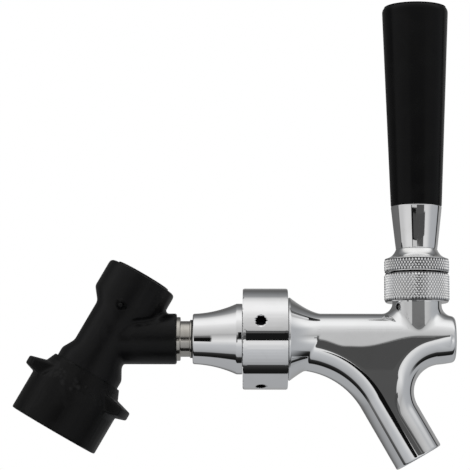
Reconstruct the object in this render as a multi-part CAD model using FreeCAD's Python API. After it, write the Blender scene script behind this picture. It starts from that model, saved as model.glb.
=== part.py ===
import FreeCAD, Part
import math
import os

# Beer tap with a quick disconnect for a keg post: a chrome rear-seat faucet,
# held by its coupling nut on a conical adapter, which screws on a black
# plastic ball-lock disconnect. All sizes are in millimetres and degrees.
#
# The row frame has its origin on the disconnect's axis, at the lower edge of
# the bore that seals on the keg's post, with +Z up and +X from the disconnect
# towards the faucet's nose. Two working frames keep the numbers simple: the
# disconnect is drawn upright on its own axis, from its mouth, and the faucet is
# drawn about its barrel axis, from the point where it meets the disconnect's.

Vector = FreeCAD.Vector
ORIGIN = Vector(0, 0, 0)
X = Vector(1, 0, 0)
Y = Vector(0, 1, 0)
Z = Vector(0, 0, 1)
FULL_TURN = 360.0

# Clearances
running = 0.05            # radial, between pieces that turn or slide in each other
thread_gap = 0.05         # radial, between screwed pieces, whose threads are drawn plain
seat_gap = 0.05           # axial, between pieces that are held together
free_gap = 0.3            # between pieces that pass without touching
overcut = 1.0             # how far a cutting tool runs past the face it cuts
edge_tolerance = 0.02     # how near a point counts as lying on a face
edge_samples = 5          # points tested along an edge
wire_sides = 8            # flats around a spring's wire

# Disconnect: its lean and its overall heights, from the mouth up
disconnect_lean = 30.0
mouth_to_arm = 42.0
post_diameter = 15.9
post_clearance = 0.1
entry_clearance = 0.45
entry_depth = 8.4
seal_bore_end = 16.0
post_nose_radius = 7.0
post_nose_taper = 1.0
post_depth = 19.0
post_floor = 2.5
stem_hole_radius = 4.6
chamber_radius = 7.5
sleeve_radius = 10.4
shoulder_radius = 13.6
shoulder_bottom = 22.4
shoulder_top = 30.4
neck_bottom = 35.2
neck_radius = 10.9
neck_top = 53.2
head_bottom = 58.0
head_radius = 14.7
head_top = 70.8
head_corner = 2.0
gate_mark_radius = 0.7
gate_mark_height = 1.6
gate_mark_proud = 0.3

# Disconnect: side arm
arm_radius = 10.1
arm_reach = 27.9
arm_chamfer = 0.6
arm_bore_radius = 4.0
insert_tail_radius = 5.6
insert_tail_length = 12.0

# Disconnect: screwed cap, with its coin slot and seal
cap_flange_radius = 12.4
cap_flange_height = 2.6
cap_flange_sunk = 2.2
cap_plug_radius = 10.5
cap_plug_length = 8.6
cap_boss_radius = 7.2
cap_boss_length = 10.0
spring_cup_radius = 5.7
spring_cup_depth = 6.0
coin_slot_width = 1.8
coin_slot_depth = 1.4
coin_slot_length = 19.0
cap_edge_round = 0.8
cap_ring_section = 0.75
cap_ring_below_flange = 2.6

# Disconnect: poppet that opens on the keg's post
poppet_stem_radius = 2.2
poppet_stem_drop = 2.6
poppet_head_radius = 6.6
poppet_head_height = 2.4
poppet_spindle_radius = 2.6
poppet_spindle_length = 9.0
poppet_seal_radius = 6.3
poppet_seal_thickness = 1.0
poppet_spring_wire = 0.45
poppet_spring_radius = 4.6
poppet_spring_turns = 6

# Disconnect: ball lock, with a cone in the collar that lets the balls back
ball_radius = 1.5875
ball_count = 4
ball_first_angle = 45.0
ball_height = 6.2
ball_bite = 0.75
ball_hole_gap = 0.03
collar_travel = 4.5
ball_travel = 0.8
stop_ring_bottom = 0.5
stop_ring_thickness = 1.0
stop_ring_radius = 11.9
stop_ring_groove_depth = 0.7
snap_ring_opening = 6.0

# Disconnect: sliding collar with its two finger wings
skirt_radius = 18.8
skirt_wall = 2.0
skirt_top = 17.0
collar_sleeve_wall = 3.8
collar_hollow_height = 11.0
collar_rib_count = 8
collar_rib_width = 1.4
spring_ledge = 13.0
collar_bore_radius = 13.9
collar_rim_radius = 14.6
collar_neck_radius = 16.2
collar_neck_height = 23.2
collar_top = 26.8
wing_span_radius = 23.0
wing_bottom = 16.5
wing_end_bottom = 17.7
wing_end_top = 21.0
wing_top = 22.9
wing_root_radius = 19.3
wing_width = 24.0
collar_spring_wire = 0.55
collar_spring_turns = 4

# Flare insert and its washer, between the arm and the adapter
insert_bore_radius = 3.0
insert_flange_radius = 8.7
insert_flange_length = 1.5
insert_neck_radius = 7.1
insert_neck_length = 3.8
insert_lip_radius = 7.6
insert_lip_length = 1.1
insert_nose_length = 9.0
insert_nose_radius = 5.6
insert_nose_chamfer = 1.4
flare_washer_thickness = 1.2

# Adapter cone
adapter_rear_radius = 10.3
adapter_land_radius = 14.3
adapter_land_length = 2.2
adapter_length = 19.2
adapter_sag = 1.35
adapter_bore_radius = 3.5
spigot_radius = 11.0
spigot_length = 6.8

# Coupling nut, snap ring and washer
nut_radius = 20.1
nut_length = 17.8
nut_gap = 0.6
nut_lip_length = 3.2
nut_edge = 0.6
nut_hole_radius = 1.9
nut_hole_depth = 3.4
nut_hole_from_rear = 6.2
nut_hole_count = 4
nut_hole_first_angle = 11.0
coupling_thread_radius = 14.2875
ring_thickness = 1.2
ring_radius = 12.9
ring_groove_depth = 0.8
coupling_washer_thickness = 2.0
coupling_washer_radius = 13.2
coupling_washer_bore = 5.0

# Faucet body
barrel_radius = 10.15
flange_radius = 16.3
flange_length = 0.8
flare_length = 12.8
nose_past_handle = 16.4
nose_taper_length = 7.0
nose_taper = 0.8
nose_round = 2.2
handle_reach = 123.6
inlet_radius = 9.0
seat_reach = 79.0
bore_radius = 5.5
nose_wall = 9.5
faucet_neck_radius = 9.8
neck_fillet = 3.2
vent_radius = 1.1
vent_height = 12.6
vent_angle = 220.0

# Spout and the web that joins it to the barrel
spout_lean = 30.0
spout_radius = 10.0
spout_end_past_handle = 0.8
spout_end_drop = 46.9
spout_bore_radius = 6.2
outlet_socket_radius = 7.0
outlet_socket_depth = 14.0
rear_curve_radius = 30.5
rear_curve_drop = 12.4
front_curve_radius = 10.8

# Lever and its ball joint
ball_joint_height = 19.0
lever_ball_radius = 7.4
ball_joint_gap = 0.05
lever_neck_radius = 3.6
lever_neck_top = 10.5
stem_radius = 4.7625
stem_top = 47.0
stem_chamfer = 1.0
tongue_radius = 3.0
tongue_tip_radius = 1.8
tongue_ball_radius = 2.7
lever_tilt = 20.0
joint_bore_radius = 7.6
joint_floor = 7.0
ball_washer_radius = 5.5
ball_washer_height = 2.6
spigot_top = 1.8
friction_washer_height = 2.8

# Bonnet
bonnet_radius = 13.0
bonnet_bottom = 4.4
bonnet_top = 7.0
bonnet_edge = 0.7
bonnet_throat_radius = 6.1
bonnet_mouth_radius = 7.6

# Lever collar, ferrule, insert and grip
collar_gap = 0.2
lever_collar_radius = 12.95
lever_collar_edge = 13.0
lever_collar_sag = 0.8
lever_collar_top = 16.9
ferrule_foot_radius = 8.25
lever_hub_radius = 6.6
lever_hub_length = 5.0
ferrule_length = 17.3
ferrule_top_radius = 10.2
ferrule_bore_radius = 5.2
grip_length = 81.8
grip_foot_radius = 10.2
grip_top_radius = 13.35
grip_corner = 3.2
grip_dome = 0.8
grip_foot_round = 0.6
grip_insert_radius = 7.0
grip_insert_length = 22.0
grip_bore_spare = 2.0

# Valve shaft, seat washer and nut
shaft_radius = 2.6
yoke_length = 11.0
yoke_hole_radius = 3.0
yoke_flare_radius = 4.6
yoke_flare_depth = 3.3
guide_length = 8.0
guide_from_seat = 3.5
guide_flat = 7.2
shaft_shoulder_radius = 4.6
shaft_shoulder_length = 1.2
seat_washer_radius = 7.8
seat_washer_thickness = 3.0
seat_nut_radius = 6.0
seat_nut_thickness = 3.2
seat_nut_sides = 6
shaft_tail = 1.0

# Values that follow from the sizes above
post_bore_radius = post_diameter / 2 + post_clearance
entry_radius = post_diameter / 2 + entry_clearance
poppet_seat = post_depth + post_floor
ball_rest_radius = post_bore_radius - ball_bite + ball_radius
lock_slope = ball_travel / collar_travel
lock_cosine = math.cos(math.atan(lock_slope))
lock_cone_radius = ball_rest_radius + (ball_radius + ball_hole_gap) / lock_cosine
collar_guide_radius = sleeve_radius + running

insert_start = arm_reach
adapter_start = insert_start + insert_flange_length + insert_neck_length + insert_lip_length
adapter_end = adapter_start + adapter_length
nut_start = adapter_end + nut_gap
nut_end = nut_start + nut_length
ring_start = nut_start + nut_lip_length + seat_gap
spigot_end = adapter_end + spigot_length
faucet_rear = spigot_end + coupling_washer_thickness
flange_start = nut_end + free_gap
flare_start = flange_start + flange_length
flare_end = flare_start + flare_length
nose_reach = handle_reach + nose_past_handle
bore_end = nose_reach - nose_wall

ball_centre = Vector(handle_reach, 0, ball_joint_height)
spout_direction = Vector(math.sin(math.radians(spout_lean)), 0, -math.cos(math.radians(spout_lean)))
spout_end = Vector(handle_reach + spout_end_past_handle, 0, -spout_end_drop)
arm_crossing = Vector(
    (mouth_to_arm - entry_depth) * math.sin(math.radians(disconnect_lean)),
    0,
    (mouth_to_arm - entry_depth) * math.cos(math.radians(disconnect_lean)),
)


def at_tap(shape):
    """Places a shape drawn about the barrel axis in the row frame."""
    placed = shape.copy()
    placed.translate(arm_crossing)
    return placed


def at_disconnect(shape):
    """Leans a shape drawn upright from the disconnect's mouth as it stands in the row frame."""
    placed = shape.copy()
    placed.translate(Z * -entry_depth)
    placed.rotate(ORIGIN, Y, disconnect_lean)
    return placed


def along_barrel(shape, start=0.0):
    """Lays a shape turned about Z along the barrel axis, from the given reach."""
    laid = shape.copy()
    laid.rotate(ORIGIN, Y, 90)
    laid.translate(Vector(start, 0, 0))
    return laid


def on_handle(shape):
    """Moves a shape drawn from the ball joint's centre to its place on the faucet."""
    moved = shape.copy()
    moved.translate(ball_centre)
    return moved


def outline(corners):
    """Closed face in the XZ plane. A corner is a point, or a pair for an arc: through, end."""
    edges = []
    here = corners[0]
    for corner in list(corners[1:]) + [corners[0]]:
        start = Vector(here[0], 0, here[1])
        if isinstance(corner[0], tuple):
            through, here = corner
            middle = Vector(through[0], 0, through[1])
            edges.append(Part.Arc(start, middle, Vector(here[0], 0, here[1])).toShape())
        elif corner != here:
            here = corner
            edges.append(Part.LineSegment(start, Vector(here[0], 0, here[1])).toShape())
    return Part.Face(Part.Wire(edges))


def turned(corners):
    """Solid of revolution about Z from an outline of (radius, height) corners."""
    return outline(corners).revolve(ORIGIN, Z, FULL_TURN)


def disc(radius, bottom, top):
    """Cylinder about Z between two heights."""
    return Part.makeCylinder(radius, top - bottom, Vector(0, 0, bottom), Z)


def tube(outer, inner, bottom, top):
    """Ring about Z between two heights."""
    bore = disc(inner, bottom - overcut, top + overcut)
    return disc(outer, bottom, top).cut(bore)


def ball(radius, centre=ORIGIN, poles=Z):
    """Sphere about a point, with its poles on the given direction."""
    return Part.makeSphere(radius, centre, poles)


def bulged(start, end, sag):
    """Middle point of an arc between two points, set off to the right of the way by sag."""
    along_r = end[0] - start[0]
    along_z = end[1] - start[1]
    length = math.hypot(along_r, along_z)
    middle_r = (start[0] + end[0]) / 2 + sag * along_z / length
    middle_z = (start[1] + end[1]) / 2 - sag * along_r / length
    return (middle_r, middle_z)


def domed(edge, top):
    """Middle point of the arc from an edge to the top of a dome whose centre is on the axis."""
    rise = top - edge[1]
    radius = (edge[0] ** 2 + rise ** 2) / (2 * rise)
    half_angle = math.asin(edge[0] / radius) / 2
    return (radius * math.sin(half_angle), top - radius * (1 - math.cos(half_angle)))


def rounded(corner, before, after, radius):
    """Arc, as through and end points, that rounds a square corner between two unit ways."""
    start = (corner[0] - before[0] * radius, corner[1] - before[1] * radius)
    end = (corner[0] + after[0] * radius, corner[1] + after[1] * radius)
    centre = (start[0] + after[0] * radius, start[1] + after[1] * radius)
    reach = math.hypot(corner[0] - centre[0], corner[1] - centre[1])
    through = tuple(c + (k - c) * radius / reach for c, k in zip(centre, corner))
    return start, (through, end)


def wound(radius, wire, bottom, top, turns):
    """Compression spring about Z, its wire kept between the two heights."""
    first = bottom + wire + seat_gap
    last = top - wire - seat_gap
    path = Part.makeHelix((last - first) / turns, last - first, radius)
    path.translate(Vector(0, 0, first))
    middle = Vector(radius, 0, first)
    corners = []
    for n in range(wire_sides + 1):
        turn = FreeCAD.Rotation(Y, FULL_TURN * (n + 0.5) / wire_sides)
        corners.append(middle + turn.multVec(X * wire))
    return Part.Wire(path.Edges).makePipeShell([Part.makePolygon(corners)], True, True)


# Disconnect


def disconnect_body():
    """Moulded body: sleeve for the keg's post, chamber, head for the cap and side arm."""
    corner_start, corner_arc = rounded((head_radius, head_top), (0, 1), (-1, 0), head_corner)
    skin = turned([
        (0, 0),
        (sleeve_radius, 0),
        (sleeve_radius, shoulder_bottom),
        (shoulder_radius, shoulder_bottom),
        (shoulder_radius, shoulder_top),
        (neck_radius, neck_bottom),
        (neck_radius, neck_top),
        (head_radius, head_bottom),
        corner_start,
        corner_arc,
        (0, head_top),
    ])
    arm = along_barrel(turned([
        (0, 0),
        (arm_radius, 0),
        (arm_radius, arm_reach - arm_chamfer),
        (arm_radius - arm_chamfer, arm_reach),
        (0, arm_reach),
    ]))
    gate_mark = Part.makeCylinder(
        gate_mark_radius,
        overcut + gate_mark_proud,
        Vector(0, overcut - head_radius, head_bottom + gate_mark_height),
        Y * -1,
    )
    body = at_disconnect(skin.fuse(gate_mark)).fuse(at_tap(arm))

    cap_floor = head_top - cap_flange_sunk
    chamber_top = cap_floor - cap_plug_length
    hollow = turned([
        (0, -overcut),
        (entry_radius, -overcut),
        (entry_radius, entry_depth),
        (post_bore_radius, entry_depth),
        (post_bore_radius, seal_bore_end),
        (post_nose_radius, seal_bore_end + post_nose_taper),
        (post_nose_radius, post_depth),
        (0, post_depth),
    ])
    hollow = hollow.fuse(disc(stem_hole_radius, post_depth - overcut, poppet_seat + overcut))
    hollow = hollow.fuse(disc(chamber_radius, poppet_seat, chamber_top + overcut))
    hollow = hollow.fuse(disc(cap_plug_radius + thread_gap, chamber_top, head_top + overcut))
    flange_pocket = disc(cap_flange_radius + thread_gap, cap_floor, head_top + overcut)
    ring_groove = tube(
        sleeve_radius + overcut,
        sleeve_radius - stop_ring_groove_depth,
        stop_ring_bottom - seat_gap,
        stop_ring_bottom + stop_ring_thickness + seat_gap,
    )
    body = body.cut(at_disconnect(hollow)).cut(at_disconnect(flange_pocket))
    body = body.cut(at_disconnect(ring_groove))
    for angle in ball_angles():
        body = body.cut(at_disconnect(ball_hole(angle)))

    tail_end = arm_reach - insert_tail_length
    arm_way = disc(arm_bore_radius, 0, arm_reach)
    arm_way = arm_way.fuse(disc(insert_tail_radius + thread_gap, tail_end, arm_reach + overcut))
    return body.cut(at_tap(along_barrel(arm_way)))


def ball_angles():
    """Angles of the lock balls about the disconnect's axis."""
    return [ball_first_angle + FULL_TURN * n / ball_count for n in range(ball_count)]


def ball_hole(angle):
    """Radial hole for one lock ball, with a round seat that keeps the ball from falling in."""
    hole_radius = ball_radius + ball_hole_gap
    seat_centre = Vector(ball_rest_radius, 0, ball_height)
    way_out = Part.makeCylinder(hole_radius, sleeve_radius + overcut - ball_rest_radius, seat_centre, X)
    hole = way_out.fuse(ball(hole_radius, seat_centre, X))
    hole.rotate(ORIGIN, Z, angle)
    return hole


def lock_ball(angle):
    """One steel ball of the lock, standing in the post's groove."""
    piece = ball(ball_radius, Vector(ball_rest_radius, 0, ball_height))
    piece.rotate(ORIGIN, Z, angle)
    return at_disconnect(piece)


def disconnect_cap():
    """Screwed cap with a coin slot, and a cup that holds the poppet's spring."""
    flange_bottom = head_top - cap_flange_sunk + seat_gap
    flange_top = flange_bottom + cap_flange_height
    plug_bottom = flange_bottom - cap_plug_length + free_gap
    boss_bottom = plug_bottom - cap_boss_length
    corner_start, corner_arc = rounded((cap_flange_radius, flange_top), (0, 1), (-1, 0), cap_edge_round)
    cap = turned([
        (0, boss_bottom),
        (cap_boss_radius, boss_bottom),
        (cap_boss_radius, plug_bottom),
        (cap_plug_radius, plug_bottom),
        (cap_plug_radius, flange_bottom),
        (cap_flange_radius, flange_bottom),
        corner_start,
        corner_arc,
        (0, flange_top),
    ])
    ring_middle = flange_bottom - cap_ring_below_flange
    groove_half = cap_ring_section + seat_gap
    groove = tube(
        cap_plug_radius + overcut,
        cap_ring_radius() - groove_half,
        ring_middle - groove_half,
        ring_middle + groove_half,
    )
    cup = disc(spring_cup_radius, boss_bottom - overcut, boss_bottom + spring_cup_depth)
    slot = Part.makeBox(
        coin_slot_length,
        coin_slot_width,
        coin_slot_depth + overcut,
        Vector(-coin_slot_length / 2, -coin_slot_width / 2, flange_top - coin_slot_depth),
    )
    return at_disconnect(cap.cut(groove).cut(cup).cut(slot))


def cap_ring_radius():
    """Middle radius of the cap's ring, just clear of the wall it seals on."""
    return cap_plug_radius - cap_ring_section + thread_gap / 2


def cap_o_ring():
    """Rubber ring in the cap's groove."""
    middle = head_top - cap_flange_sunk + seat_gap - cap_ring_below_flange
    return at_disconnect(Part.makeTorus(cap_ring_radius(), cap_ring_section, Vector(0, 0, middle), Z))


def poppet():
    """Poppet: a stem that the post's own poppet lifts, a head and a spindle for the spring."""
    head_base = poppet_seat + poppet_seal_thickness
    head_crown = head_base + poppet_head_height
    return at_disconnect(turned([
        (0, post_depth - poppet_stem_drop),
        (poppet_stem_radius, post_depth - poppet_stem_drop),
        (poppet_stem_radius, head_base),
        (poppet_head_radius, head_base),
        (poppet_head_radius, head_crown),
        (poppet_spindle_radius, head_crown),
        (poppet_spindle_radius, head_crown + poppet_spindle_length),
        (0, head_crown + poppet_spindle_length),
    ]))


def poppet_seal():
    """Rubber ring under the poppet's head, which closes the stem's hole."""
    lift = poppet_seat + running
    return at_disconnect(tube(
        poppet_seal_radius,
        poppet_stem_radius,
        lift,
        poppet_seat + poppet_seal_thickness,
    ))


def poppet_spring():
    """Spring between the poppet's head and the cap's cup."""
    bottom = poppet_seat + poppet_seal_thickness + poppet_head_height
    boss_bottom = head_top - cap_flange_sunk + seat_gap - cap_plug_length + free_gap - cap_boss_length
    top = boss_bottom + spring_cup_depth
    return at_disconnect(wound(
        poppet_spring_radius, poppet_spring_wire, bottom, top, poppet_spring_turns))


def collar_stop_ring():
    """Snap ring in the sleeve's groove, on which the sliding collar rests."""
    ring = tube(
        stop_ring_radius,
        sleeve_radius - stop_ring_groove_depth + seat_gap,
        stop_ring_bottom,
        stop_ring_bottom + stop_ring_thickness,
    )
    opening = Part.makeBox(
        stop_ring_radius + overcut,
        snap_ring_opening,
        stop_ring_thickness + 2 * overcut,
        Vector(0, -snap_ring_opening / 2, stop_ring_bottom - overcut),
    )
    return at_disconnect(ring.cut(opening))


def lock_collar():
    """Sliding collar: skirt, two finger wings, ribbed underside and the lock's inner cone."""
    stop_face = stop_ring_bottom + stop_ring_thickness + running
    cone_foot = lock_cone_radius + (ball_height - stop_face) * lock_slope
    cone_top = ball_height + (lock_cone_radius - collar_guide_radius) / lock_slope
    skin = turned([
        (stop_ring_radius + free_gap, 0),
        (skirt_radius, 0),
        (skirt_radius, skirt_top),
        (collar_neck_radius, wing_top),
        (collar_neck_radius, collar_neck_height),
        (collar_rim_radius, collar_top),
        (collar_bore_radius, collar_top),
        (collar_bore_radius, spring_ledge),
        (collar_guide_radius, spring_ledge),
        (collar_guide_radius, cone_top),
        (cone_foot, stop_face),
        (stop_ring_radius + free_gap, stop_face),
    ])
    wings = turned([
        (collar_bore_radius + running, wing_bottom),
        (wing_root_radius, wing_bottom),
        (wing_span_radius, wing_end_bottom),
        (wing_span_radius, wing_end_top),
        (collar_neck_radius, wing_top),
        (collar_bore_radius + running, wing_top),
    ])
    between = Part.makeBox(
        2 * wing_span_radius + 2 * overcut,
        wing_width,
        wing_top - wing_bottom + 2 * overcut,
        Vector(-wing_span_radius - overcut, -wing_width / 2, wing_bottom - overcut),
    )
    collar = skin.fuse(wings.common(between))

    hollow_outer = skirt_radius - skirt_wall
    hollow_inner = collar_guide_radius + collar_sleeve_wall
    hollow = tube(hollow_outer, hollow_inner, -overcut, collar_hollow_height)
    for n in range(collar_rib_count):
        rib = Part.makeBox(
            hollow_outer - hollow_inner + 2 * overcut,
            collar_rib_width,
            collar_hollow_height + 2 * overcut,
            Vector(hollow_inner - overcut, -collar_rib_width / 2, -overcut),
        )
        rib.rotate(ORIGIN, Z, FULL_TURN * (n + 0.5) / collar_rib_count)
        hollow = hollow.cut(rib)
    return at_disconnect(collar.cut(hollow))


def collar_spring():
    """Spring between the collar's ledge and the body's shoulder."""
    middle = (collar_guide_radius + collar_bore_radius) / 2
    return at_disconnect(wound(
        middle, collar_spring_wire, spring_ledge, shoulder_bottom, collar_spring_turns))


# Coupling


def flare_insert():
    """Stainless nipple screwed in the arm, with its flange, neck, lip and nose."""
    flange_end = insert_flange_length
    neck_end = flange_end + insert_neck_length
    lip_end = neck_end + insert_lip_length
    nose_end = lip_end + insert_nose_length
    return at_tap(along_barrel(turned([
        (insert_bore_radius, seat_gap - insert_tail_length),
        (insert_tail_radius, seat_gap - insert_tail_length),
        (insert_tail_radius, 0),
        (insert_flange_radius, 0),
        (insert_flange_radius, flange_end),
        (insert_neck_radius, flange_end),
        (insert_neck_radius, neck_end),
        (insert_lip_radius, neck_end),
        (insert_lip_radius, lip_end),
        (insert_nose_radius, lip_end),
        (insert_nose_radius, nose_end - insert_nose_chamfer),
        (insert_nose_radius - insert_nose_chamfer, nose_end),
        (insert_bore_radius, nose_end),
    ]), insert_start))


def flare_washer():
    """Nylon washer on the insert's nose, at the bottom of the adapter's socket."""
    washer = tube(insert_nose_radius - running, insert_bore_radius, 0, flare_washer_thickness)
    return at_tap(along_barrel(washer, adapter_start + insert_nose_length + seat_gap))


def adapter():
    """Chrome cone with a socket for the insert and a spigot that carries the coupling nut."""
    land_start = adapter_length - adapter_land_length
    foot = (adapter_rear_radius, 0)
    land = (adapter_land_radius, land_start)
    whole = adapter_length + spigot_length
    socket_depth = insert_nose_length + flare_washer_thickness + 2 * seat_gap
    cone = turned([
        (0, 0),
        foot,
        (bulged(foot, land, -adapter_sag), land),
        (adapter_land_radius, adapter_length),
        (spigot_radius, adapter_length),
        (spigot_radius, whole),
        (0, whole),
    ])
    groove_start = ring_start - adapter_start - seat_gap / 2
    groove = tube(
        spigot_radius + overcut,
        spigot_radius - ring_groove_depth,
        groove_start,
        groove_start + ring_thickness + seat_gap,
    )
    socket = disc(insert_nose_radius + thread_gap, -overcut, socket_depth)
    way = disc(adapter_bore_radius, 0, whole + overcut)
    return at_tap(along_barrel(cone.cut(groove).cut(socket).cut(way), adapter_start))


def retaining_ring():
    """Snap ring that keeps the coupling nut on the adapter's spigot."""
    ring = tube(ring_radius, spigot_radius - ring_groove_depth + seat_gap, 0, ring_thickness)
    opening = Part.makeBox(
        ring_radius + overcut,
        snap_ring_opening,
        ring_thickness + 2 * overcut,
        Vector(0, -snap_ring_opening / 2, -overcut),
    )
    return at_tap(along_barrel(ring.cut(opening), ring_start))


def coupling_nut():
    """Round coupling nut with four spanner holes, turned by hand or by a pin spanner."""
    nut = turned([
        (spigot_radius + running, 0),
        (nut_radius - nut_edge, 0),
        (nut_radius, nut_edge),
        (nut_radius, nut_length - nut_edge),
        (nut_radius - nut_edge, nut_length),
        (coupling_thread_radius + thread_gap, nut_length),
        (coupling_thread_radius + thread_gap, nut_lip_length),
        (spigot_radius + running, nut_lip_length),
    ])
    nut = along_barrel(nut, nut_start)
    for n in range(nut_hole_count):
        hole = Part.makeCylinder(
            nut_hole_radius,
            nut_hole_depth + overcut,
            Vector(nut_start + nut_hole_from_rear, -nut_radius - overcut, 0),
            Y,
        )
        hole.rotate(ORIGIN, X, -nut_hole_first_angle + FULL_TURN * n / nut_hole_count)
        nut = nut.cut(hole)
    return at_tap(nut)


def coupling_washer():
    """Rubber washer between the adapter and the faucet."""
    washer = tube(coupling_washer_radius, coupling_washer_bore, 0, coupling_washer_thickness)
    return at_tap(along_barrel(washer, spigot_end))


# Faucet body


def swept(section, steps):
    """Faces that a line draws along a path: a vector is a straight run, (centre, turn) an arc."""
    faces = []
    section = section.copy()
    for step in steps:
        if isinstance(step, Vector):
            faces.append(section.extrude(step))
            section.translate(step)
        else:
            centre, turn = step
            faces.append(section.revolve(centre, Y, turn))
            section.rotate(centre, Y, turn)
    return faces


def turned_about(point, centre, turn):
    """A point turned about an axis along Y."""
    return FreeCAD.Rotation(Y, turn).multVec(point - centre) + centre


def half_circle(point):
    """Half circle across the web's edge at a point of the XZ plane, bulging downwards."""
    return Part.Arc(
        point - Y * spout_radius,
        point - Z * spout_radius,
        point + Y * spout_radius,
    ).toShape()


def half_disc(point):
    """Face inside the half circle at a point."""
    chord = Part.LineSegment(point + Y * spout_radius, point - Y * spout_radius).toShape()
    return Part.Face(Part.Wire([half_circle(point), chord]))


def rectangle_across(start, end):
    """Face across the web over a line in the XZ plane."""
    across = Y * spout_radius
    corners = [start - across, end - across, end + across, start + across, start - across]
    return Part.Face(Part.makePolygon(corners))


def web_and_spout():
    """Spout tube and the flat-sided web above it, with a full-round edge on both sides.

    Each edge is half a tube of the spout's radius, along a level run, an arc and a straight
    run to the spout's end. The two straight runs lie on one line, so the section is a circle
    there and grows into a long oval towards the barrel.
    """
    slope = math.tan(math.radians(spout_lean))
    rear_turn = 90 - spout_lean
    front_turn = 90 + spout_lean
    rear_radius = rear_curve_radius + spout_radius
    front_radius = front_curve_radius + spout_radius
    rear_level = spout_radius - rear_curve_drop

    rear_start = Vector(0, 0, rear_level)
    rear_bend_x = spout_end.x + (spout_end.z - rear_level) * slope
    rear_tangent = rear_radius * math.tan(math.radians(rear_turn / 2))
    rear_arc_start = Vector(rear_bend_x - rear_tangent, 0, rear_level)
    rear_centre = rear_arc_start - Z * rear_radius
    rear_arc_end = turned_about(rear_arc_start, rear_centre, rear_turn)

    front_start = Vector(nose_reach, 0, 0)
    front_bend_x = spout_end.x + spout_end.z * slope
    front_tangent = front_radius * math.tan(math.radians(front_turn / 2))
    front_arc_start = Vector(front_bend_x + front_tangent, 0, 0)
    front_centre = front_arc_start - Z * front_radius
    front_arc_end = turned_about(front_arc_start, front_centre, -front_turn)

    last_run = spout_end - front_arc_end
    faces = swept(half_circle(rear_start), [
        rear_arc_start - rear_start,
        (rear_centre, rear_turn),
        front_arc_end - rear_arc_end,
        last_run,
    ])
    faces += swept(half_circle(front_start), [
        front_arc_start - front_start,
        (front_centre, -front_turn),
        last_run,
    ])
    top_rear = Vector(rear_start.x, 0, 0)
    rear_middle = turned_about(rear_arc_start, rear_centre, rear_turn / 2)
    front_middle = turned_about(front_arc_start, front_centre, -front_turn / 2)
    for side in (-1, 1):
        edges = [
            Part.LineSegment(rear_start, rear_arc_start).toShape(),
            Part.Arc(rear_arc_start, rear_middle, rear_arc_end).toShape(),
            Part.LineSegment(rear_arc_end, front_arc_end).toShape(),
            Part.Arc(front_arc_end, front_middle, front_arc_start).toShape(),
            Part.LineSegment(front_arc_start, front_start).toShape(),
            Part.LineSegment(front_start, top_rear).toShape(),
            Part.LineSegment(top_rear, rear_start).toShape(),
        ]
        flat = Part.Face(Part.Wire(edges))
        flat.translate(Y * side * spout_radius)
        faces.append(flat)
    faces += [half_disc(rear_start), half_disc(front_start)]
    faces += [rectangle_across(rear_start, top_rear), rectangle_across(top_rear, front_start)]
    faces.append(Part.Face(Part.Wire([Part.Circle(spout_end, spout_direction, spout_radius).toShape()])))
    shell = Part.makeShell(faces)
    shell.sewShape()
    width = 2 * spout_radius + 2 * overcut
    behind = Part.makeBox(
        flare_start + overcut,
        width,
        width,
        Vector(-overcut, -width / 2, rear_level - spout_radius - overcut),
    )
    ahead = Part.makeBox(
        nose_taper_length + overcut,
        width,
        spout_radius + 2 * overcut,
        Vector(nose_reach - nose_taper_length, -width / 2, -spout_radius - overcut),
    )
    return Part.makeSolid(shell).cut(behind).cut(ahead)


def faucet_skin():
    """Turned outer form of the faucet: thread, flange, flare, barrel and rounded nose."""
    taper_start = nose_reach - nose_taper_length
    nose_radius = barrel_radius - nose_taper
    corner_start, corner_arc = rounded((nose_radius, nose_reach), (0, 1), (-1, 0), nose_round)
    flare_from = (flange_radius, flare_start)
    flare_to = (barrel_radius, flare_end)
    drop = flange_radius - barrel_radius
    flare_radius = (flare_length ** 2 + drop ** 2) / (2 * drop)
    half_angle = math.asin(flare_length / flare_radius) / 2
    flare_middle = (
        barrel_radius + flare_radius * (1 - math.cos(half_angle)),
        flare_end - flare_radius * math.sin(half_angle),
    )
    return along_barrel(turned([
        (0, faucet_rear),
        (coupling_thread_radius - nut_edge, faucet_rear),
        (coupling_thread_radius, faucet_rear + nut_edge),
        (coupling_thread_radius, flange_start),
        (flange_radius, flange_start),
        flare_from,
        (flare_middle, flare_to),
        (barrel_radius, taper_start),
        corner_start,
        corner_arc,
        (0, nose_reach),
    ]))


def tongue_slot():
    """Slot under the ball joint, in which the lever's tongue swings towards the rear."""
    swing = math.radians(lever_tilt)
    side = tongue_radius / math.cos(swing) + free_gap
    back = (ball_joint_height - bore_radius / 2) * math.tan(swing)
    height = ball_joint_height - joint_floor + overcut
    front_end = Part.makeCylinder(side, height, ORIGIN, Z)
    rear_end = Part.makeCylinder(side, height, Vector(-back, 0, 0), Z)
    between = Part.makeBox(back, 2 * side, height, Vector(-back, -side, 0))
    slot = front_end.fuse(rear_end).fuse(between)
    slot.translate(Vector(handle_reach, 0, 0))
    return slot


def neck_foot_edges(body):
    """Edges of the body that lie on the neck's round wall, apart from the rim at its top."""
    axis = Vector(handle_reach, 0, 0)
    found = []
    for edge in body.Edges:
        points = edge.discretize(edge_samples)
        on_wall = all(
            abs(math.hypot(point.x - axis.x, point.y) - faucet_neck_radius) < edge_tolerance
            for point in points
        )
        below_top = max(point.z for point in points) < barrel_radius + neck_fillet
        if on_wall and below_top:
            found.append(edge)
    return found


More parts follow.
